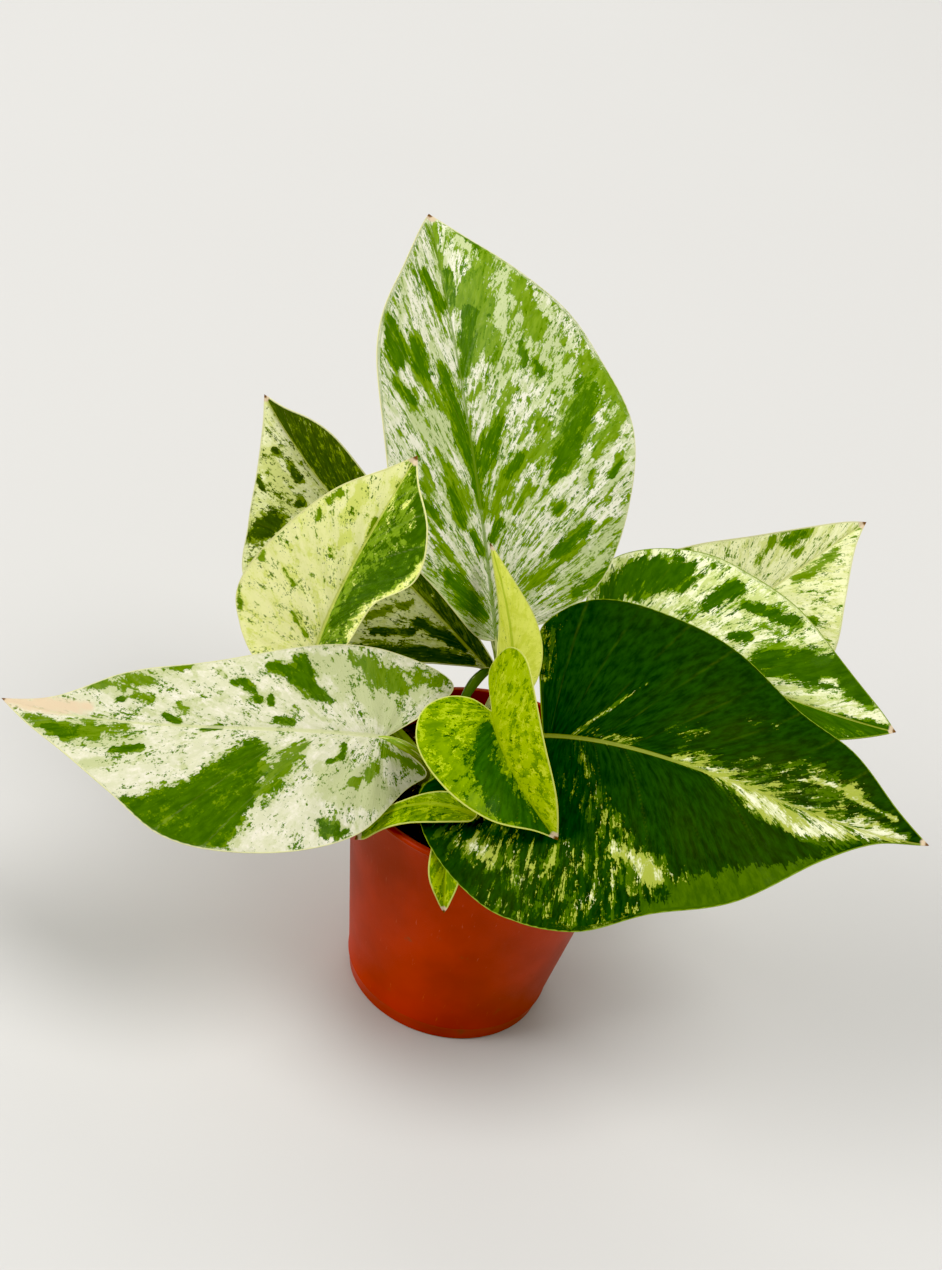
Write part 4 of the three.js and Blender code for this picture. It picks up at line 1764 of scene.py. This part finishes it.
LEAVES = (
    Leaf(
        name="leaf_tall", slot="marbled_leaf",
        rib=((-10, 22, 112), (-25, 34, 152), (-43, 51, 190), (-63, 87, 212)), side=(0.88, 0.4, -0.25),
        fold=(20, 8),
        left=((4, 9), (20, 22), (36, 35), (57, 41), (79, 38), (95, 31), (110, 19), (122, 9)),
        right=((2, 10), (5, 24), (14, 39), (32, 50), (58, 56), (82, 52), (100, 44), (115, 26), (127, 9)),
        stalk=((-8, 17.3, 84.8), (-5, 18, 94), (-4, 19, 103)), curl=(2, -3), sink=1,
        wave=(1.6, 2.5, 0.1), seed=2, finish=BRIGHT_MARBLED, stem=CREAM_STRIPED,
        levels=((-1.9, -0.6, -0.4), (-1.9, -0.5, -0.3)),
        marks=patches(
            (Tone.SOLID, ((41, 0, 0.7), (53, -1, 2), (69, -5, 2.7), (82, -8, 1.3)),
             ((92, -28, 2), (84, -28, 2.7)), ((88, -19, 2), (83, -17, 3.3)),
             ((77, -30, 1), (73, -24, 1.8))),
            (Tone.GREEN, ((80, -18, 1.4), (73, -11, 2.5))),
            (Tone.SAGE, ((68, -24, 2), (63, -18, 2)), ((70, -18, 2.4), (62, -8, 2.9))),
            (Tone.GREEN, ((57, -15, 1.7), (42, -7, 2.5)), ((53, -23, 1.5), (48, -22, 1.8))),
            (Tone.SOLID, ((47, -12, 1.4), (38, -9, 1.7)), ((48, -28, 0.6), (39, -18, 1)),
             ((34, -5, 0.8), (28, -2, 1.1)), ((24, -17, 1.6), (17, -12, 3), (9, -4, 1.6))),
            (Tone.GREEN, ((39, -23, 0.7), (23, -11, 1.1))),
            (Tone.SAGE, ((25, -25, 1.7), (15, -17, 2.1), (4, -5, 1.6))),
            (Tone.SOLID, ((45, 24, 0.7), (53, 30, 3.5), (63, 37, 4.5), (72, 43, 3.4))),
            (Tone.GREEN, ((83, 45, 2.6), (77, 50, 4.7), (70, 53, 2.6))),
            (Tone.SOLID, ((50, 2, 0.6), (57, 5, 2.8), (66, 10, 1.1))),
            (Tone.GREEN, ((73, 2, 0.6), (76, 6, 1.2))),
            (Tone.SOLID, ((81, 1, 1.3), (89, 5, 1.1), (99, 7, 1.6))),
            (Tone.SAGE, ((102, 12, 4.9), (83, 15, 4.3)), ((100, 22, 4.8), (80, 28, 4.4)),
             ((88, 35, 4.6), (73, 36, 3.9))),
            (Tone.SOLID, ((89, 22, 1), (82, 22, 1.1)), ((83, 26, 1.3), (80, 27, 1.5))),
            (Tone.GREEN, ((75, 15, 1.1), (69, 12, 1.1)), ((38, 2, 1.3), (45, 7, 2.2), (54, 15, 1.5))),
            (Tone.SOLID, ((49, 10, 1.3), (54, 15, 1.1))),
            (Tone.GREEN, ((39, 11, 1.3), (44, 16, 1.3)), ((61, 24, 2.4), (53, 22, 1.9))),
            (Tone.SOLID, ((36, 24, 1.1), (37, 26, 1.1)), ((31, 2, 0.9), (35, 5, 1.3)),
             ((23, 22, 1.3), (25, 27, 2), (30, 35, 1.1))),
            (Tone.GREEN, ((13, 9, 1.8), (18, 17, 2.2), (23, 25, 1.1))),
            (Tone.SAGE, ((12, 26, 3.9), (24, 43, 4.7))),
            (Tone.SOLID, ((10, 27, 1.1), (14, 39, 1.4)), ((44, 45, 0.8), (48, 49, 1))),
            (Tone.GREEN, ((52, 41, 1.7), (66, 55, 1.7))),
            (Tone.SOLID, ((130, 7, 0.8), (123, 14, 1.3))),
            (Tone.GREEN, ((120, 16, 2), (104, 10, 4.3), (89, 10, 3.9))),
            (Tone.SOLID, ((89, 3, 1.4), (100, 7, 1.5)), ((113, 2, 1), (103, 1, 1.6))),
            (Tone.GREEN, ((111, 25, 2.2), (96, 29, 3.9))),
            (Tone.SOLID, ((109, -9, 1.7), (102, -4, 2.4)), ((90, -28, 2), (86, -26, 2.3))),
            (Tone.GREEN, ((127, -1, 1.3), (114, 0, 1.4))),
            (Tone.SAGE, ((126, 7, 2.3), (117, 16, 2.9)), ((115, 21, 2.8), (88, 20, 5.4))),
        ),
    ),
    Leaf(
        name="leaf_back_left", slot="marbled_leaf",
        rib=((-11, 23, 101), (-42, 43, 112), (-76, 60, 122), (-103, 83, 141)), side=(0.74, 0.62, 0.25),
        fold=(6, 95),
        left=((4, 5), (10, 12.5), (24, 29), (46, 42), (66, 41), (80, 29), (94, 16), (107, 6)),
        right=((-3, 6), (6, 11), (24, 15), (50, 21), (70, 23), (84, 21), (96, 15), (108, 6)),
        stalk=((-12.5, 13, 78), (-16, 14, 86), (-17, 17, 96)), tip_fold=(6, 78), curl=(-3, -3),
        wave=(1, 2, 0), seed=9, finish=SHADED_MARBLED, stem=GREEN_STALK,
        levels=((-1.7, -1, -0.5), (0.6, 1.1, 1.5)),
        marks=patches(
            (Tone.SOLID, ((76, -28, 2.8), (77, -22, 2.9)), ((92, -17, 0.6), (88, -18, 0.6)),
             ((98, -7, 0.8), (97, -7, 0.8)), ((92, -5, 0.8), (86, -6, 1.1)),
             ((78, -11, 1.1), (78, -10, 1.1))),
            (Tone.DARK, ((112, 2, 0.8), (100, 6, 3.2), (88, 6, 3.8), (72, 13, 3.4))),
            (Tone.SAGE, ((97, -10, 2.1), (82, -15, 3))),
            (Tone.SOLID, ((28, -29, 2.2), (17, -16, 2.5), (5, -3, 1.8)), ((24, -7, 1.6), (11, -1, 1.7)),
             ((30, -20, 1), (23, -11, 1))),
            (Tone.GREEN, ((36, -20, 1), (31, -4, 1))),
        ),
    ),
    Leaf(
        name="leaf_young_left", slot="young_leaf",
        rib=((-62.4, 12, 94), (-60.3, 10, 123), (-49.3, -1, 155.6), (-43.3, 2, 176.4)),
        side=(0.97, -0.19, -0.12), fold=(5, 40),
        left=((-7, 7), (-8, 17), (1, 25), (13, 29), (38, 23.5), (62, 15), (78, 5)),
        right=((4, 9), (20, 12.5), (43, 16), (63, 24.5), (75, 18.5), (81, 6)),
        stalk=((-20, -1.4, 74), (-32, 9, 84), (-54, 10, 87)), curl=(-3, 0), wave=(0.8, 2, 0.2), seed=16,
        finish=YELLOW_MARBLED, stem=YOUNG_STALK, levels=((-2.1, -1.4, -0.7), (-0.3, 0.8, 1.5)),
        marks=patches(
            (Tone.GREEN, ((57, -15, 0.8), (62, -13, 0.9)), ((43, -8, 0.7), (41, -7, 0.7)),
             ((14, -10, 0.5), (9, -4, 0.7)), ((27, -17, 0.5), (24, -13, 0.5)),
             ((53, -16, 0.6), (49, -15, 0.6))),
            (Tone.SAGE, ((55, -8, 1.5), (66, -8, 1.4))),
            (Tone.GREEN, ((26, -25, 0.7), (29, -25, 0.7))),
            (Tone.SAGE, ((52, -5, 0.8), (45, -6, 0.9))),
            (Tone.GREEN, ((15, -30, 0.4), (6, -26, 0.5))),
            (Tone.SOLID, ((78, 9, 0.8), (74, 17, 1.8), (65, 18, 3), (48, 12, 2.5), (20, 4, 0.9))),
            (Tone.GREEN, ((61, -1, 0.6), (36, 2, 0.9), (13, 1, 0.5)),
             ((75, 1, 1.6), (66, 10, 3.2), (44, 6, 2.1))),
            (Tone.CREAM, ((70, 24, 0.6), (58, 22, 0.8), (39, 14, 1.3), (25, 12, 1.5))),
        ),
    ),
    Leaf(
        name="leaf_left", slot="marbled_leaf",
        rib=((-33, -19, 97), (-67, -35, 103), (-107, -43, 90), (-143, -30, 83)), side=(0, 0.92, 0.39),
        fold=(4, 8),
        left=(
            (-6, 4), (-12, 10), (-5, 16), (9, 30), (26, 37), (44, 38), (60, 34), (74, 23), (90, 12),
            (106, 4),
        ),
        right=(
            (-10, 7), (-20, 15), (-22, 21), (-12, 26), (8, 28), (35, 26), (58, 21), (80, 15), (99, 5),
        ),
        stalk=((-22.3, -8.5, 78.5), (-16, -17, 88), (-23, -20, 97)), curl=(-4, -5),
        wave=(1.4, 2.5, 0.3), seed=23, finish=WARM_MARBLED, stem=YOUNG_STALK,
        levels=((-2.3, -1.7, -1), (-2.1, -1.4, -0.6)),
        marks=patches(
            (Tone.SOLID, ((68, -29, 4.5), (58, -30, 9.5), (50, -27, 9.5), (45, -19, 8), (39, -8, 3.5))),
            (Tone.GREEN, ((35, -20, 2.1), (30, -11, 3.6), (24, -4, 1)),
             ((105, -3, 0.9), (96, -4, 2.6), (84, -4, 3), (74, -2, 1.2))),
            (Tone.SOLID, ((97, -5, 1.1), (89, -6, 1.9))),
            (Tone.SAGE, ((87, -9, 1.5), (71, -5, 1.8))),
            (Tone.SOLID, ((76, -10, 1), (69, -8, 1))),
            (Tone.SAGE, ((82, -15, 1.4), (76, -14, 1.2))),
            (Tone.SOLID, ((53, -1, 0.6), (48, 0, 0.7)), ((20, -28, 1), (19, -31, 1.4), (16, -29, 0.9)),
             ((13, -30, 0.7), (16, -32, 0.7)), ((13, -4, 0.7), (14, -8, 1)),
             ((18, -10, 0.6), (16, -9, 0.6))),
            (Tone.SAGE, ((16, -16, 5.4), (5, -18, 5.4))),
            (Tone.GREEN, ((1, -4, 1.8), (-10, -9, 1.8)), ((4, -10, 1.7), (11, -16, 1.5))),
            (Tone.SOLID, ((35, 21, 0.7), (27, 18, 2.3), (23, 13, 2), (17, 10, 1)),
             ((25, 23, 1.6), (23, 17, 1.6)), ((45, 15, 1), (42, 15, 1)), ((41, 13, 1), (39, 12, 1)),
             ((38, 10, 0.9), (37, 9, 0.9)), ((34, 10, 0.8), (34, 8, 0.8))),
            (Tone.GREEN, ((60, 6, 1.1), (58, 5, 1.1))),
            (Tone.SOLID, ((64, 3, 0.8), (60, 1, 0.8))),
            (Tone.GREEN, ((74, 8, 1), (69, 8, 1.1))),
            (Tone.SOLID, ((79, 7, 0.7), (77, 7, 0.7)), ((32, 3, 0.8), (28, 2, 0.9))),
            (Tone.GREEN, ((89, 10, 1.5), (71, 14, 2.1)), ((67, 18, 0.9), (59, 20, 1.1)),
             ((7, 23, 3), (2, 19, 3.6), (-4, 18, 3.3)), ((-4, 18, 2.5), (-18, 21, 2.5))),
            (Tone.SAGE, ((11, 18, 3.8), (1, 10, 4.3), (-3, 4, 2.6)), ((33, 20, 1.5), (15, 21, 3.2))),
            (Tone.DRY, ((114, 0, 1.9), (98, 2, 2.7), (87, 3, 1.6))),
        ),
    ),
    Leaf(
        name="leaf_spear", slot="young_leaf",
        rib=((-2, -3, 113), (-4, 6, 125), (-12, 14, 136), (-19, 26, 142)), side=(0.8, 0.5, -0.3),
        fold=(30, 25), left=((2, 6), (8, 11), (22, 7), (34, 4)),
        right=((1, 6), (10, 9), (20, 8), (32, 4)), stalk=((-2.7, 10.2, 79), (-1, 3, 90), (-1, -6, 103)),
        stalk_radius=1.4, seed=30, finish=SPEAR, stem=YOUNG_STALK,
        levels=((-3.5, -2, -0.2), (-3.5, -2, -0.2)),
    ),
    Leaf(
        name="leaf_centre", slot="young_leaf",
        rib=((-6, -17.5, 114.5), (-1, -30.5, 111.5), (9, -42.5, 106.5), (21, -46.5, 98.5)),
        side=(-0.85, -0.35, -0.35), fold=(62, 8),
        left=((-9, 2), (-12, 6), (-9, 17), (2, 24), (14, 23), (26, 17), (36, 10)),
        right=((-5, 5), (-6, 12), (-2, 19), (8, 23), (20, 20), (30, 13), (38, 4)),
        stalk=((-1, -15, 83), (-1, -12, 94), (-3, -13, 105)), curl=(0, 3), wave=(0.5, 2, 0),
        stalk_radius=1.4, seed=37, finish=YOUNG, stem=YOUNG_STALK,
        levels=((-2.3, -0.5, 0.5), (-1.1, 0.3, 1.2)),
        marks=patches(
            # The solid strip along the rib on the right half is partly the leaf's own dark green and partly
            # painted shade, where the raised left half shades the fold.
            (Tone.SOLID, ((6, 2, 1.4), (16, 7, 3.1), (29, 6, 3.6), (40, 2, 1.7))),
            (Tone.GREEN, ((17, 13, 3.2), (25, 14, 2.1)), ((4, 18, 1.3), (10, 17, 1.8))),
        ),
    ),
    Leaf(
        name="leaf_right", slot="green_leaf",
        rib=((10, -15, 109), (47, -20, 124), (88, -28, 110), (124, -14, 106)), side=(0, -0.88, -0.47),
        fold=(6, 6),
        left=((-3, 14), (-6, 28), (-7, 41), (5, 51), (26, 47), (48, 42), (70, 31), (90, 23), (106, 9)),
        right=(
            (-9, 4.5), (-20, 11), (-31, 20), (-29, 33), (-17, 47), (0, 56), (26, 56), (46, 45),
            (65, 34), (84, 14), (100, 3),
        ),
        stalk=((15.8, 4.8, 80), (11, -3, 90), (8, -10, 101)), curl=(-5, -4), sink=-0.5,
        wave=(1.6, 2, 0.4), stalk_radius=2, seed=44, finish=DARK_GREEN, stem=GREEN_STALK,
        levels=((3.4, 3, 3), (3.4, 3, 3)),
        marks=patches(
            (Tone.CREAM,
             ((38, -1, 1), (50, -1, 2.4), (62, 1, 5.4), (78, 3, 6.8), (95, -1, 4.6), (109, -1, 1.6))),
            (Tone.SPECK, ((57, -5, 4.4), (74, -8, 8.6), (91, -8, 7.6))),
            (Tone.CREAM, ((9, -1, 0.4), (17, -10, 0.6), (25, -21, 0.4))),
            (Tone.SPECK,
             ((10, 2, 2.4), (17, 13, 4.1), (23, 21, 5.8), (30, 31, 7.5), (42, 36, 9.2), (52, 37, 8.3))),
            (Tone.CREAM, ((29, 31, 1.1), (44, 35, 1.9))),
            (Tone.SPECK, ((9, 13, 2.4), (16, 23, 2.4)),
             ((-22, 24, 3), (-8, 33, 6.5), (6, 42, 7), (20, 46, 6)),
             ((-25, 29, 4.7), (-17, 35, 7), (-6, 40, 6.8))),
            (Tone.CREAM, ((-15, 35, 1.3), (-6, 40, 1.8))),
            (Tone.SPECK, ((-3, 38, 5.9), (11, 48, 7.8), (21, 53, 4.7)), ((-10, 48, 3.2), (3, 56, 4.4)),
             ((15, 37, 7.1), (29, 45, 9.5), (32, 51, 5.9)), ((32, 51, 2.9), (56, 37, 2.7)),
             ((-6, -44, 4.4), (-2, -20, 3.9)), ((35, -8, 2), (44, -12, 2.5)),
             ((40, -4, 2.7), (50, -5, 3.2)), ((55, -20, 2.4), (66, -24, 2.7))),
            (Tone.CREAM, ((78, -10, 0.4), (93, -11, 0.8)), ((89, -9, 0.6), (106, -6, 0.8))),
            # The lighter green band on the right half towards the tip is partly the leaf's own colour and
            # partly painted light, where that side faces the lamps.
            (Tone.MID, ((46, 44, 3), (60, 34, 6.5), (76, 24, 7), (90, 11, 3))),
            (Tone.SPECK, ((14, -2, 3), (26, -1, 3.2))),
        ),
    ),
    Leaf(
        name="leaf_mid_right", slot="green_leaf",
        rib=((21, 33, 111), (47, 22, 127), (82, 12, 122), (112, 24, 116)), side=(0, -0.78, -0.62),
        fold=(4, 20),
        left=((-8, 12), (-6, 28), (4, 35), (22, 37), (38, 33), (56, 27), (72, 18), (88, 7)),
        right=((-6, 8), (-6, 18), (6, 25), (26, 27), (46, 22), (66, 13), (82, 6)),
        stalk=((20, 13.5, 86.5), (20, 22, 96), (19, 29, 104)), curl=(-3, -4), wave=(1.2, 2, 0), seed=51,
        finish=replace(
            DARK_GREEN, cream=paint(252, 252, 216), sage=paint(200, 212, 132), cell=1.3, flecks=0.02,
            green=paint(112, 150, 30), dark=paint(58, 102, 6), deep=paint(40, 82, 4),
        ),
        stem=GREEN_STALK, levels=((-1.3, -0.7, 0.1), (0.8, 1.4, 1.8)),
        marks=patches(
            (Tone.SOLID, ((-1, -20, 2.7), (8, -25, 6.2), (17, -28, 4.8)),
             ((28, -19, 1.1), (34, -27, 2.2)), ((40, -23, 1.1), (55, -23, 1.6)),
             ((39, -12, 1), (43, -14, 1)),
             ((49, -8, 2.2), (64, -11, 4.7), (75, -14, 4.5), (84, -6, 2.4)), ((69, 3, 2), (92, 0, 1.3))),
            (Tone.CREAM, ((69, -9, 0.9), (73, -10, 0.9)), ((63, -3, 0.5), (70, -5, 0.6)),
             ((69, -2, 1.3), (79, -4, 1.7), (92, -3, 0.9))),
            (Tone.GREEN, ((48, -12, 1.5), (60, -15, 1.7))),
        ),
    ),
    Leaf(
        name="leaf_back_right", slot="marbled_leaf",
        rib=((40, 48, 98), (57, 57, 118), (75, 73, 134), (93, 88, 149)), side=(0.62, -0.3, -0.68),
        fold=(12, 12), left=((-6, 10), (0, 26), (14, 33), (32, 27), (50, 18), (66, 10), (78, 4)),
        right=((-6, 10), (-2, 24), (14, 32), (34, 34), (50, 28), (64, 16), (76, 5)),
        stalk=((23.9, 8.8, 81), (30, 17, 88), (38, 35, 90)), curl=(-3, -3), wave=(1.2, 2.5, 0.5),
        seed=58, finish=CREAMY_BACK, stem=CREAM_STRIPED, levels=((-2, -1.1, -0.5), (-2, -1, -0.4)),
        marks=patches(
            (Tone.DARK, ((58, -10, 1.6), (64, -9, 1.4))),
            (Tone.GREEN, ((59, -14, 0.9), (67, -8, 1)), ((46, -10, 0.9), (54, -13, 1.2)),
             ((54, 2, 1), (64, 3, 1.4), (71, 2, 0.8))),
            (Tone.DARK, ((29, -27, 1.1), (31, -26, 1.1)), ((48, 14, 1), (51, 16, 1)),
             ((23, -33, 0.6), (27, -29, 0.6))),
            (Tone.GREEN, ((58, -5, 0.8), (61, -5, 0.8))),
        ),
    ),
    Leaf(
        name="leaf_curled", slot="young_leaf",
        rib=((-2, -41, 95), (-15, -39, 97), (-28, -31, 84.5), (-34, -39, 74)), side=(0.1, 0.8, 0.6),
        fold=(10, 10), left=((2, 3), (12, 6), (26, 6), (38, 4)),
        right=((2, 3), (10, 4), (24, 2), (36, 2)),
        stalk=((-5.4, -17.7, 79), (-13, -11, 103), (-10, -25, 110)), stalk_radius=1.2, seed=65,
        # The levels are set greener and darker than the young leaves' own: painted shade, as this curled
        # leaf lies low under the others.
        finish=YOUNG, stem=YOUNG_STALK, levels=((-0.9, 0.7, 1.5), (-0.9, 0.7, 1.5)),
    ),
    Leaf(
        name="leaf_small_front", slot="young_leaf",
        rib=((-9, -34, 81), (-8, -45, 85.5), (-6, -52, 78), (-4, -51, 66.5)), side=(-1, 0.1, 0),
        fold=(25, 25), left=((2, 3), (8, 4.5), (16, 5), (24, 2)),
        right=((2, 3), (8, 4.5), (16, 5), (24, 2)),
        stalk=((-3, -19.6, 76), (-8, -24, 80), (-10, -29, 79)), stalk_radius=1.1, seed=72, finish=YOUNG,
        stem=YOUNG_STALK, levels=((-1.8, 0.1, 0.8), (-1.8, 0.1, 0.8)),
    ),
)


# Camera, light and floor


@dataclass(frozen=True)
class Lamp:
    """A soft round light. It lies toward so much of the photograph's right, up and nearer from the plant.

    Distance and size are in metres, and power is in watts.
    """

    name: str
    toward: Triple
    distance: float
    size: float
    power: float
    colour: Triple


@dataclass
class Studio:
    """The photograph's viewpoint, soft light and a pale floor."""

    image: Pair = (942, 1270)
    focal: float = 1905
    sensor: float = 36
    clip: Pair = (0.01, 50)
    aim: Triple = (0, 0, 80)
    aim_pixel: Pair = (495.6, 775)
    distance: float = 572
    elevation: float = 36.5
    roll: float = 15
    lit: Triple = (0, 0, 0.1)
    lamps: tuple[Lamp, ...] = (
        Lamp("window", (0.5, 0.6, 0.6), 6.0, 3.4, 220, (1.0, 0.985, 0.96)),
        Lamp("fill", (-0.75, 0.55, 0.6), 5.0, 3.4, 172, (1.0, 0.99, 0.98)),
        Lamp("sheet", (0.1, 1.0, -0.35), 3.0, 2.4, 20, (1.0, 0.99, 0.97)),
    )
    sky: tuple = (1.0, 0.99, 0.97, 1)
    sky_strength: float = 0.44
    black_level: Triple = (0.008, 0.008, 0.018)
    floor_half: float = 4

    def axes(self) -> tuple[Array, Array]:
        """The camera's place and its axes in space.

        Returns:
            The place in millimetres and a matrix with the camera's right, up and back as its columns.
        """
        turn = math.radians(self.elevation)
        ahead = np.array([0, math.cos(turn), -math.sin(turn)])
        right = np.array([1.0, 0, 0])
        up = np.cross(right, ahead)
        px, py = self.aim_pixel
        ray = unit(np.array([px - self.image[0] / 2, self.image[1] / 2 - py, -self.focal]))
        level = unit(right - ray * ray[0])
        rise = np.cross(level, ray)
        rise = rise if rise[1] > 0 else -rise
        lean = math.radians(self.roll)
        seen_right = math.cos(lean) * level - math.sin(lean) * rise
        seen_up = math.sin(lean) * level + math.cos(lean) * rise
        view = np.stack([seen_right, seen_up, ray], 1) @ np.stack([right, up, ahead], 1).T
        return np.array(self.aim) - self.distance * ahead, view.T

    def camera(self) -> None:
        """Adds the camera and makes it the scene's."""
        place, axes = self.axes()
        data = bpy.data.cameras.new("photo_camera")
        data.sensor_width = self.sensor
        data.lens = self.focal / max(self.image) * self.sensor
        data.clip_start, data.clip_end = self.clip
        camera = link("photo_camera", data)
        camera.matrix_world = Matrix.Translation(Vector(place * MM)) @ Matrix(axes.tolist()).to_4x4()
        bpy.context.scene.camera = camera

    def light(self, lamp: Lamp) -> None:
        """Adds a lamp that looks at the plant.

        Args:
            lamp: Its place, size and strength.
        """
        _, axes = self.axes()
        way = unit(np.array(lamp.toward, float) @ axes.T)
        data = bpy.data.lights.new(lamp.name, "AREA")
        data.shape = "DISK"
        data.size = lamp.size
        data.energy = lamp.power
        data.color = lamp.colour
        target = Vector(self.lit)
        light = link(lamp.name, data)
        light.location = target + Vector(way) * lamp.distance
        light.rotation_euler = (target - light.location).to_track_quat("-Z", "Y").to_euler()

    def floor(self) -> None:
        """Adds the pale floor that the pot stands on."""
        half = self.floor_half
        corner = [(-half, -half, 0), (half, -half, 0), (half, half, 0), (-half, half, 0)]
        mesh = bpy.data.meshes.new("pale_floor")
        mesh.from_pydata(corner, [], [range(4)])
        board = Board("pale floor")
        colour = board.mix(board.grain(1.5), paint(198, 197, 195), paint(202, 202, 200))
        skin = {"Base Color": colour, "Roughness": 0.9, "Specular IOR Level": 0.2}
        mesh.materials.append(board.finish(skin))
        link("pale_floor", mesh)

    def sheen(self) -> None:
        """Sets the sky and how the picture is shown."""
        scene = bpy.context.scene
        scene.world = bpy.data.worlds.new("soft daylight")
        scene.world.use_nodes = True
        back = scene.world.node_tree.nodes["Background"]
        back.inputs["Color"].default_value = self.sky
        back.inputs["Strength"].default_value = self.sky_strength
        scene.view_settings.view_transform = "Standard"
        scene.view_settings.look = "None"
        scene.view_settings.use_curve_mapping = True
        scene.view_settings.curve_mapping.black_level = self.black_level

    def build(self) -> None:
        """Sets up the whole studio."""
        self.camera()
        self.floor()
        for lamp in self.lamps:
            self.light(lamp)
        self.sheen()


def main() -> None:
    """Builds the plant piece by piece, then its studio."""
    logging.basicConfig(level=logging.INFO, format="%(name)s %(message)s")
    Studio().build()
    pot = Pot()
    pot.build()
    Soil(pot).build()
    stem = StemFinish(stripes=0.3).material("waxy vine")
    root = EarthFinish(paint(150, 110, 70), paint(96, 66, 40), 1500, 0.85, 0.0003)
    nubs = root.material("dry root nubs")
    for vine in VINES:
        vine.build(stem, nubs)
    for leaf in LEAVES:
        LeafMaker(leaf).build()


if __name__ == "__main__":
    main()
